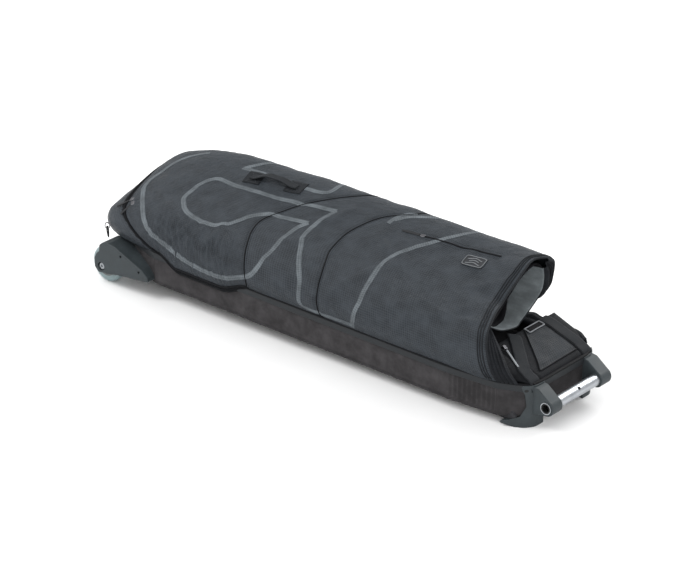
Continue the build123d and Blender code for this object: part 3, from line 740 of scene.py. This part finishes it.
def build_badge(tree):
    """A sewn-on plate with a plain raised pattern of bars."""
    low, high = local_box("badge_plate")
    middle_x, middle_y = (low[:2] + high[:2]) / 2
    turn = math.radians(POCKET_HEADING)
    u, v = np.meshgrid(np.linspace(-0.5, 0.5, 28), np.linspace(-0.5, 0.5, 18), indexing="ij")

    def laid(a, b, lift):
        x = middle_x + a * math.cos(turn) - b * math.sin(turn)
        y = middle_y + a * math.sin(turn) + b * math.cos(turn)
        flat, _ = snap(tree, dropped(tree, x.ravel(), y.ravel()), lift)
        return flat.reshape(*x.shape, 3)

    face = laid(u * BADGE_SIZE[0], v * BADGE_SIZE[1], 2.0)
    plate = grid("badge", face, "badge_back", 1.2, slot="badge_metal")
    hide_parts("badge_plate")
    turns = np.linspace(0, math.tau, 81)[:-1]
    c, r = np.cos(turns), np.sin(turns)
    frame_path = laid(np.sign(c) * np.abs(c) ** 0.3 * BADGE_SIZE[0] / 2,
                      np.sign(r) * np.abs(r) ** 0.3 * BADGE_SIZE[1] / 2, 2.6)
    tube("badge_frame", frame_path, 1.1, "badge", closed=True, slot="badge_metal")
    for k, (across, share) in enumerate(((-7, 0.36), (0, 0.24), (7, 0.36))):
        far = np.linspace(-share, share, 24) * BADGE_SIZE[0]
        bar = laid(far, across + 2.5 * np.cos(far / 6), 2.6)
        tube(f"badge_bar_{k}", bar, 1.2, "badge", slot="badge_metal")


def straight_on_cover(tree, middle_x, middle_y, heading, length, step=4):
    turn = math.radians(heading)
    far = np.arange(-length / 2, length / 2 + step, step)
    x = middle_x + far * math.cos(turn)
    y = middle_y + far * math.sin(turn)
    return snap(tree, dropped(tree, x, y))


def build_pocket_zip(tree):
    low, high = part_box("pocket_zip_tape")
    ends = from_frame([low, high])
    middle = ends.mean(0)
    path, ups = straight_on_cover(tree, middle[0], middle[1], POCKET_HEADING, POCKET_LENGTH)
    path, ups = smoothed(path, 8), smoothed(ups, 12)
    level = from_frame([high])[0][2]
    path[:, 2] += level - 1.2 - path[:, 2].max()
    tape = zip_band("pocket_zip", path, ups, 15, "pocket_zip_tape")
    for name, offset in (("near", -10), ("far", 10)):
        side = np.cross(ups, directions(path))
        stitches(f"pocket_zip_stitches_{name}", tree, path + side * offset)
    return tape


# ---------------------------------------------------------------- the open front end

def edge_path(surface, start, stop):
    """The front edge of the cover between two distances across it: points and normals."""
    points, normals = surface
    s = np.linspace(0, GIRTH, points.shape[1])
    keep = (s >= start) & (s <= stop)
    return points[-1][keep], normals[-3][keep]


def build_binding(surfaces):
    points, normals = surfaces["cover_front"]
    s = np.linspace(0, GIRTH, points.shape[1])
    keep = (s >= 4) & (s <= 606)
    first = None
    for k, (back, radius) in enumerate(((0, 2.4), (3, 1.5), (5, 1.5), (7, 1.3))):
        path = smoothed(points[-1 - back][keep], 3)
        ups = normals[-3][keep]
        piece = tube(f"mouth_binding_{k}", path + ups * (0.7 if back else -1.2), radius, "webbing", ups=ups,
                     slot="binding")
        first = first or piece
    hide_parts("mouth_binding")


# The lower edge of the lining, from the near corner of the mouth round under it to its far top.
LIP = [(507, -116, 199), (500, -61, 168), (494, 1, 151), (491, 25, 157), (489, 54, 170), (488, 94, 194),
       (490, 106, 212), (492, 108, 240), (492, 104, 264)]
LIP_DEPTHS = [(0, 4), (0.15, 14), (0.32, 30), (0.5, 44), (0.65, 66), (0.8, 100), (1, 115)]
LIP_TOP = [(492, 104, 264), (480, 90, 276), (478, 40, 262), (481, 0, 240), (484, -40, 214), (496, -80, 205),
           (507, -116, 199)]
MOUTH_HEART = np.array([0, 10, 205.0])


def sleeve(path, depths, shrink):
    """Copies of a path, each deeper in the bag than the last and drawn in towards the mouth's middle.
    Depths may differ along the path."""
    rows = []
    for depth, tight in zip(depths, shrink):
        ring = path.copy()
        ring[:, 0] -= depth
        ring[:, 1:] = MOUTH_HEART[1:] + (ring[:, 1:] - MOUTH_HEART[1:]) * np.reshape(tight, (-1, 1))
        rows.append(ring)
    return np.array(rows)


def build_lining():
    lip = smooth_path(LIP, 4)
    along = lengths(lip) / lengths(lip)[-1]
    depth = np.interp(along, *zip(*LIP_DEPTHS))
    depths = [depth * q for q in np.linspace(0, 1, 26)]
    rows = sleeve(lip, depths, [1 - 0.0009 * d for d in depths])
    rows += 1.2 * field(rows[..., 0], rows[..., 1] + rows[..., 2], 28, 4.4)[..., None]
    strip = grid("mouth_lining_strip", rows, "lining", 2.0, slot="lining_fabric")
    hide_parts("mouth_lining")
    cloth_sheet(rows)
    # the deeper lining and the roof of the mouth are near-black cloth: painted shade inside the bag
    deep = sleeve(rows[-1], np.linspace(0, 260, 24), np.linspace(1.0, 0.8, 24))
    deep[1:] += 3 * field(deep[1:, :, 0], deep[1:, :, 1], 60, 8.8)[..., None]
    lower = grid("mouth_lining_deep", deep, "lining_dark", 2.0, slot="lining_fabric")
    cloth_sheet(deep)
    roof = sleeve(smooth_path(LIP_TOP, 4), np.linspace(0, 330, 40), np.linspace(1, 0.75, 40))
    upper = grid("mouth_lining_roof", roof, "lining_dark", 2.0, slot="lining_fabric")
    cloth_sheet(roof)
    tube("mouth_lining_edge", lip + [1, 0, 0], 1.4, "webbing", ups=(1, 0, 0), slot="binding")


def between(outer, inner, rows, ridges, height, forward=(1, 0, 0)):
    """Folds of cloth between two paths of the same number of points."""
    w = np.linspace(0, 1, rows)[:, None, None]
    flat = outer[None] * (1 - w) + inner[None] * w
    wave_height = height * np.abs(np.sin(w * math.pi * ridges)) ** 0.7
    return flat + wave_height * np.asarray(forward, float)


def resampled(path, count):
    far = lengths(path)
    steps = np.linspace(0, far[-1], count)
    return points_at(path, far, steps)


def build_rolled_edge(surfaces):
    """The far side of the mouth, where the cover's wall folds inwards on itself."""
    outer, _ = edge_path(surfaces["cover_front"], 392, 545)
    lip = smooth_path([(492, 104, 264), (492, 108, 240), (490, 106, 212), (487, 90, 190), (470, 84, 184),
                       (432, 90, 170)], 4)
    count = 60
    outer, lip = resampled(outer, count), resampled(lip, count)
    folds = between(outer, lip, 30, 2.0, 8)
    folds += 1.5 * field(folds[..., 1], folds[..., 2], 25, 9.1)[..., None]
    roll = grid("mouth_rolled_edge", folds, "cover_gusset", 2.0, slot="cover_fabric")
    cloth_sheet(folds)
    for k, share in enumerate((0.28, 0.62)):
        path = outer * (1 - share) + lip * share + [8, 0, 0]
        tube(f"mouth_rolled_piping_{k}", path, 1.2, "stitch", ups=(1, 0, 0), slot="binding")


def pleated(name, back, front, pleats, depth, outward, fan, material="cover_gusset"):
    """Knife pleats between two edges. Fan gives their share of full depth at each point along the edges."""
    w = np.linspace(0, 1, pleats * 14)[:, None, None]
    flat = back[None] * (1 - w) + front[None] * w
    saw = (w * pleats) % 1
    knife = np.where(saw < 0.25, saw * 4, (1 - saw) / 0.75) * depth * fan[None, :, None]
    folded = flat + knife * ease(0, 0.04, w) * np.asarray(outward, float)
    piece = grid(name, folded, material, 1.5, slot="cover_fabric")
    cloth_sheet(folded)
    return piece


def build_pleats(surfaces):
    count = 40
    back, _ = edge_path(surfaces["cover_front"], 0, 139)
    back = resampled(back, count)
    front = smooth_path([(606, -132, 93), (585, -138, 122), (548, -128, 164), tuple(back[-1])], 4)
    front = resampled(front, count)
    near = pleated("pleats_near", back, front, 5, 5.5, (0.2, -1, 0.3), (1 - np.linspace(0, 1, count)) ** 0.5)
    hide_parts("pleat_gusset_near")
    top = resampled(smooth_path([(414, 158, 104), (445, 140, 119), (479, 130, 120), (567, 137, 117),
                                 (598, 134, 104)], 4), count)
    foot = resampled(smooth_path([(414, 160, 92), (479, 156, 92), (560, 148, 92), (600, 136, 92)], 4), count)
    far = pleated("pleats_far", top, foot, 3, 3.5, (0, 1, 0.2), np.ones(count))
    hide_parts("pleat_gusset_far")
    floor_edge = smooth_path([(414, 110, 100), (479, 100, 112), (560, 120, 112), (596, 120, 100)], 4)
    floor_edge = resampled(floor_edge, count)
    shelf = between(top, floor_edge, 12, 2, 3, (0, 0, 1))
    piece = grid("far_gusset_shelf", shelf, "cover_gusset", 1.5, slot="cover_fabric")
    cloth_sheet(shelf)


# ---------------------------------------------------------------- the padded front end

PAD_BACK, PAD_FRONT = (505, 145), (628, 99)     # the pad's upper and lower edges, as (x, z)
PAD_HALF = 137


def pad_point(q, y, lift=0.0):
    """A point of the pad's sloping face: q from its upper edge to its lower one."""
    x = PAD_BACK[0] + (PAD_FRONT[0] - PAD_BACK[0]) * q
    z = PAD_BACK[1] + (PAD_FRONT[1] - PAD_BACK[1]) * q
    slope = math.hypot(PAD_FRONT[0] - PAD_BACK[0], PAD_FRONT[1] - PAD_BACK[1])
    nx = (PAD_BACK[1] - PAD_FRONT[1]) / slope
    nz = (PAD_FRONT[0] - PAD_BACK[0]) / slope
    return np.stack([x + nx * lift, y + 0 * x, z + nz * lift], -1)


def pad_surface(q, w):
    """The puffed pad: q down its slope and w from -1 to 1 across it."""
    half = PAD_HALF - 26 * ease(0.45, 1, q)
    y = w * half
    edge = np.minimum(np.minimum(q, 1 - q) * 4, (1 - np.abs(w)) * 3)
    puff = 6.5 * (1 - np.exp(-np.maximum(edge, 0) / 0.25)) - 3.5
    channel = -2.6 * (np.exp(-((np.abs(w) - 0.72) / 0.03) ** 2) + np.exp(-((q - 0.86) / 0.05) ** 2))
    rumple = 1.3 * field(q * 130, y, 30, 6.1) * ease(0, 0.2, np.minimum(q, 1 - q))
    return pad_point(q, y, puff + channel + rumple)


def build_front_pad():
    q, w = np.meshgrid(np.linspace(0, 1, 70), np.linspace(-1, 1, 120), indexing="ij")
    top = pad_surface(q, w)
    drop = top[-1][None] + (np.linspace(0, 1, 6)[1:, None, None]) * np.array([3, 0, -8])
    rows = np.vstack([top, drop])
    side_a, side_b = rows[:, :1].copy(), rows[:, -1:].copy()
    left, right = [], []
    for k in range(1, 9):
        share = k / 8
        a, b = side_a.copy(), side_b.copy()
        a[..., 1] -= 4 * math.sin(share * math.pi)
        b[..., 1] += 4 * math.sin(share * math.pi)
        a[..., 2] += (91 - a[..., 2]) * share
        b[..., 2] += (91 - b[..., 2]) * share
        left.insert(0, a)
        right.append(b)
    whole = np.concatenate(left + [rows] + right, 1)
    pad = grid("front_pad", whole, "end", 3, slot="end_fabric")
    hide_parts("front_end_pad")
    return pad


STRAP_WIDTH = 33
STRAP_FOOT, STRAP_HEADS = 100, {"near": -22, "far": 89}
STRAP_UPRIGHT = 0.72     # how far down the pad the straps have turned upright
PANEL_CORNERS = [(0.08, 8), (0.16, 72), (0.88, 80), (0.90, -64)]


def build_straps():
    for name, foot in (("near", -STRAP_FOOT), ("far", STRAP_FOOT)):
        q = np.linspace(0.0, 1.0, 50)
        y = STRAP_HEADS[name] + (foot - STRAP_HEADS[name]) * np.clip(q / STRAP_UPRIGHT, 0, 1)
        path = pad_surface(q, y / PAD_HALF) + [0.6, 0, 2.0]
        path[:, 1] = y
        end = path[-1] + np.array([(4, 0, -3), (5.5, 0, -10), (5.5, 0, -20)])
        path = np.vstack([path, end])
        rise = (PAD_BACK[1] - PAD_FRONT[1], 0, PAD_FRONT[0] - PAD_BACK[0])
        ups = np.repeat([rise], len(path), 0).astype(float)
        ups[-2:] = (1, 0, 0)
        ups = unit(ups)
        path = smoothed(path, 4)
        strap = sweep(f"front_strap_{name}_webbing", path, ups, flat_section(STRAP_WIDTH, 1.8, 9), "webbing",
                      slot="webbing")
        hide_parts(f"front_strap_{name}")
        side = np.cross(ups, directions(path))
        for k, offset in enumerate((-13.5, 13.5)):
            line = path + side * offset + ups * 1.9
            loose_stitches(f"front_strap_{name}_stitches_{k}", line, ups, 4.5, 3.0, 0.3)


def build_pad_panel():
    a, b, c, d = (np.array(corner, float) for corner in PANEL_CORNERS)
    v, w = np.meshgrid(np.linspace(0, 1, 40), np.linspace(0, 1, 60), indexing="ij")
    at = ((a * (1 - w[..., None]) + b * w[..., None]) * (1 - v[..., None])
          + (d * (1 - w[..., None]) + c * w[..., None]) * v[..., None])
    across = at[..., 1] / (PAD_HALF - 26 * ease(0.45, 1, at[..., 0]))
    face = pad_surface(at[..., 0], across) + np.array([0.5, 0, 1.4])
    grid("front_pad_panel", face, "panel", 1.2, slot="end_fabric")
    border = resampled(np.vstack([face[0], face[:, -1], face[-1][::-1], face[::-1, 0]]), 160)
    tube("front_pad_panel_piping", border + [0, 0, 0.6], 1.2, "stitch", slot="binding")


def build_label():
    y, q = np.meshgrid(np.linspace(14, 69, 16), np.linspace(0.03, 0.16, 8))
    face = pad_surface(q, y / PAD_HALF) + np.array([0.8, 0, 3.0])
    tab = grid("front_label_window", face, "lining_dark", 1.0, slot="label_fabric")
    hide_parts("label_tab")
    border = resampled(np.vstack([face[0], face[1:, -1], face[-1, -2::-1], face[-2:0:-1, 0]]), 90)
    tube("front_label_frame", border + [0, 0, 0.6], 1.5, "webbing_grey", closed=True, slot="label_fabric")


def build_pad_fittings():
    build_straps()
    build_pad_panel()
    build_label()
    outline = [(PAD_FRONT[0] + 3, y, 93.5 + 0 * y) for y in np.linspace(-108, 108, 60)]
    tube("front_pad_foot_piping", np.array(outline), 2.2, "stitch", slot="binding")


def build_front_pull():
    """A braided cord pull in place of the plain tab on the front zip."""
    low, high = local_box("front_zip_pull")
    joint = next(j for j in frame["joints"] if j["name"] == "front_pull_tilt")
    start = from_frame([np.array(joint["pos_m"])])[0]
    end = np.array([high[0] - 3, low[1] + 3, low[2] + 2.4])
    q = np.linspace(0, 1, 90)[:, None]
    spine = start * (1 - q) + end * q
    run = (end - start) / np.linalg.norm(end - start)
    side = np.cross((0, 0, 1), run)
    side /= np.linalg.norm(side)
    up = np.cross(run, side)
    for k in range(3):
        turn = np.linspace(0, 11 * math.tau, 90)[:, None] + k * math.tau / 3
        path = spine + side * 1.5 * np.sin(turn) + up * 0.9 * np.cos(turn)
        tube(f"front_pull_strand_{k}", path, 1.1, "braid", body="front_pull",
                            slot="pull_rubber")
    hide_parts("front_zip_pull")


def build_front_zip():
    low, high = local_box("front_zip_tape")
    y = np.linspace(low[1], high[1], 20)
    q = np.clip((np.linspace(low[0], high[0], 20) - PAD_BACK[0]) / (PAD_FRONT[0] - PAD_BACK[0]), 0, 1)
    path = pad_surface(q, y / PAD_HALF)
    path[:, 2] = np.linspace(high[2], low[2], 20) - 0.9
    ups = np.repeat([[0.35, 0, 0.94]], 20, 0)
    zip_band("front_zip", path, ups, 13, "front_zip_tape")


# ---------------------------------------------------------------- carry handle, loop and inner pieces

HANDLE_SEATS = ((-352, 50), (-228, 62))


def build_carry_handle(tree):
    seats = []
    for k, (x, y) in enumerate(HANDLE_SEATS):
        path, ups = straight_on_cover(tree, x, y, 6, 46, 3)
        path, ups = smoothed(path, 6), smoothed(ups, 10)
        patch = sweep(f"carry_handle_patch_{k}", path + ups * 0.8, ups, flat_section(44, 2.0, 11), "webbing",
                      slot="webbing")
        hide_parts(*(["carry_handle_patches"] if k == 0 else []))
        seats.append((path, ups))
        side = np.cross(ups, directions(path))
        half = 17
        rims = [path + side * half + ups * 2.9, path - side * half + ups * 2.9]
        for number, rim in enumerate(rims):
            loose_stitches(f"carry_handle_patch_{k}_stitches_{number}", rim[2:-2], ups[2:-2])
        a, b = rims[0][3], rims[1][-4]
        c, d = rims[1][3], rims[0][-4]
        for number, (p, q) in enumerate(((a, b), (c, d))):
            line = np.linspace(p, q, 12)
            loose_stitches(f"carry_handle_patch_{k}_cross_{number}", line, np.repeat(ups[5:6], 12, 0))
    high = local_box("carry_handle_strap")[1]
    (start, start_up), (stop, _) = seats
    a = start[6] + start_up[6] * 2.8
    b = stop[-7] + start_up[6] * 2.8
    q = np.linspace(0, 1, 60)
    arc = a[None] * (1 - q[:, None]) + b[None] * q[:, None]
    top = high[2] - 3.6
    flat_top = ease(0.05, 0.38, q) * (1 - ease(0.62, 0.95, q))
    arc[:, 2] += (top - arc[:, 2]) * flat_top
    strap = sweep("carry_handle_loop", arc, (0, 0, 1), flat_section(25, 3.0, 9), "webbing", slot="webbing")
    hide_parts("carry_handle_strap")
    for number, offset in enumerate((-9.5, 9.5)):
        loose_stitches(f"carry_handle_loop_stitches_{number}", arc + [0, offset, 3.1],
                       np.repeat([[0, 0, 1.0]], 60, 0))


def loose_stitches(name, path, ups, pitch=4.0, length=2.6, radius=0.4, material="thread"):
    """A row of threads along a path in the open, with its up directions."""
    far = lengths(path)
    rows = []
    for a in np.arange(0, far[-1] - length, pitch):
        p0, p1 = points_at(path, far, (a, a + length))
        up = points_at(ups, far, a)
        side, rise = unit(np.cross(up, p1 - p0)) * radius, up * radius
        rows.append([(p0, side, rise), (p1, side, rise)])
    return threads(name, rows, material)


BASE_OUTLINE = [(-668, -98), (-636, -130), (-588, -137), (-490, -165), (430, -165), (560, -153), (618, -126),
                (634, -106)]


def build_rim_piping_and_shadow():
    """The seam where the cover is sewn into the rim: a near-black piping tube, thick enough to stand for
    painted shade in the gap under the cover's overhang.
    """
    corners = np.array(BASE_OUTLINE + [(x, -y) for x, y in reversed(BASE_OUTLINE)], float)
    dense = resampled(np.vstack([np.c_[corners, corners[:, 0] * 0], [*corners[0], 0]]), 900)[:-1]
    for _ in range(60):
        dense = (np.roll(dense, 1, 0) + 2 * dense + np.roll(dense, -1, 0)) / 4
    dense[:, 2] = RIM_HEIGHT + 0.5
    # near-black tube: the seam's piping, and painted shade in the gap between cover and rim
    tube("rim_piping_and_shadow", dense, 3.0, "stitch", closed=True, slot="binding")


def build_rear_loop():
    low, high = local_box("rear_loop")
    ring_low, ring_high = local_box("rear_ring")
    middle = (low + high) / 2
    q = np.linspace(0, 1, 40)
    foot = np.array([low[0] + 6, middle[1], low[2]])
    top = np.array([(ring_low[0] + ring_high[0]) / 2, middle[1], high[2] - 1.6])
    spread = 5.0 * np.sin(q * math.pi) ** 0.5
    rise = np.sin(q * math.pi) ** 0.8
    path = foot[None] * (1 - rise[:, None]) + top[None] * rise[:, None]
    path[:, 0] += np.cos(q * math.pi) * spread
    ups = np.stack([-np.cos(q * math.pi), 0 * q, np.sin(q * math.pi)], -1)
    width = (high[1] - low[1]) * 0.9
    loop = sweep("rear_webbing_loop", path, ups, flat_section(width, 1.5, 7), "webbing", slot="webbing")
    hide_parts("rear_loop")


def build_inner():
    """The pad on the floor board, the folded walls and the straps, all seen only through the mouth."""
    # the folded walls are near-black cloth: painted shade inside the bag
    for name, node, material, ridges, slot in (
            ("floor_pad_quilted", "floor_pad", "foam", 14, "foam"),
            ("folded_walls", "folded_wall_stack", "lining_dark", 5, "lining_fabric")):
        low, high = local_box(node)
        x = np.linspace(low[0] + 4, high[0] - 4, 120)
        girth = np.linspace(0, math.tau, 49)[:-1]
        cy, hy = (low[1] + high[1]) / 2, (high[1] - low[1]) / 2 - 3
        cz, hz = (low[2] + high[2]) / 2, (high[2] - low[2]) / 2 - 1.5
        rows = []
        for v in x:
            end = min(1, math.sqrt(max(0.0, min(v - x[0], x[-1] - v) / 12)) + 0.05)
            c, s = np.cos(girth), np.sin(girth)
            y = cy + hy * np.sign(c) * np.abs(c) ** 0.35
            puff = 0.86 + 0.14 * abs(math.sin(v / (x[-1] - x[0]) * math.pi * ridges))
            z = cz + hz * end * puff * np.sign(s) * np.abs(s) ** 0.5
            rows.append(np.stack([np.full_like(y, v), y, z], -1))
        rows[0][:, 1] = cy + (rows[0][:, 1] - cy) * 0.9
        piece = grid(name, np.array(rows), material, None, wrap=True, slot=slot)
        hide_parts(node)
    low, high = local_box("tie_down_straps")
    for k in range(3):
        x = low[0] + 20 + (high[0] - low[0] - 40) * k / 2
        path = np.array([(x, y, high[2] - 2.2) for y in np.linspace(low[1] + 2, high[1] - 2, 30)])
        sweep(f"tie_down_strap_{k}", path, (0, 0, 1), flat_section(30, 1.6, 7), "webbing",
                          slot="webbing")
    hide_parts("tie_down_straps")


# ---------------------------------------------------------------- surroundings

CAMERA_TARGET = Vector((-0.147, 0.180, 0.0))
CAMERA_AZIMUTH, CAMERA_ELEVATION = math.radians(40), math.radians(25.3)
CAMERA_DISTANCE = 7.4638
CAMERA_LENS = 154.3


def build_camera():
    data = bpy.data.cameras.new("camera")
    data.lens = CAMERA_LENS
    data.sensor_width = 36
    data.clip_end = 60
    camera = bpy.data.objects.new("camera", data)
    back = Vector((math.sin(CAMERA_AZIMUTH) * math.cos(CAMERA_ELEVATION),
                   -math.cos(CAMERA_AZIMUTH) * math.cos(CAMERA_ELEVATION), math.sin(CAMERA_ELEVATION)))
    camera.location = CAMERA_TARGET + back * CAMERA_DISTANCE
    camera.rotation_euler = (-back).to_track_quat("-Z", "Y").to_euler()
    bpy.context.scene.collection.objects.link(camera)
    bpy.context.scene.camera = camera


def build_light(name, place, target, size, power):
    data = bpy.data.lights.new(name, "AREA")
    data.shape = "RECTANGLE"
    data.size, data.size_y = size
    data.energy = power
    light = bpy.data.objects.new(name, data)
    light.location = place
    light.rotation_euler = (Vector(target) - Vector(place)).to_track_quat("-Z", "Y").to_euler()
    bpy.context.scene.collection.objects.link(light)


def build_room():
    mesh = bpy.data.meshes.new("floor")
    reach = 14
    mesh.from_pydata([(-reach, -reach, 0), (reach, -reach, 0), (reach, reach, 0), (-reach, reach, 0)], [],
                     [(0, 1, 2, 3)])
    material, tree, shader = new_material("floor_paper")
    cloud = noise_node(tree, coordinates(tree, 1), 3, 3)
    tree.links.new(ramp(tree, cloud, [(0.3, (0.90, 0.90, 0.90)), (0.7, (0.94, 0.94, 0.94))]),
              shader.inputs["Base Color"])
    shader.inputs["Roughness"].default_value = 0.9
    mesh.materials.append(material)
    floor = bpy.data.objects.new("floor", mesh)
    bpy.context.scene.collection.objects.link(floor)
    world = bpy.data.worlds.new("studio")
    world.use_nodes = True
    background = world.node_tree.nodes["Background"]
    background.inputs["Color"].default_value = (1, 1, 1, 1)
    background.inputs["Strength"].default_value = 0.85
    bpy.context.scene.world = world
    # name, place, target, size in metres, power in watts
    build_light("key", (-1.6, -1.6, 2.6), (0, 0, 0.1), (1.6, 1.6), 60)
    build_light("rim", (0.6, 2.6, 1.8), (0, 0, 0.15), (2.4, 1.0), 70)
    build_light("front", (2.6, -2.0, 1.4), (0.2, 0, 0.1), (1.4, 1.2), 30)
    bpy.context.scene.view_settings.view_transform = "Standard"


# ---------------------------------------------------------------- all together

def build():
    finish_nodes()
    surfaces = build_cover()
    tree = cover_tree(surfaces)
    build_prints(tree)
    seam_line("seam_rear", tree, SEAM_REAR)
    seam_line("seam_front", tree, SEAM_FRONT)
    build_main_zip(surfaces)
    build_pocket_zip(tree)
    build_badge(tree)
    build_binding(surfaces)
    build_lining()
    build_rolled_edge(surfaces)
    build_pleats(surfaces)
    build_front_pad()
    build_pad_fittings()
    build_front_zip()
    build_front_pull()
    build_rim_piping_and_shadow()
    build_carry_handle(tree)
    build_rear_loop()
    build_inner()
    build_room()
    build_camera()


build()
bpy.context.view_layer.update()
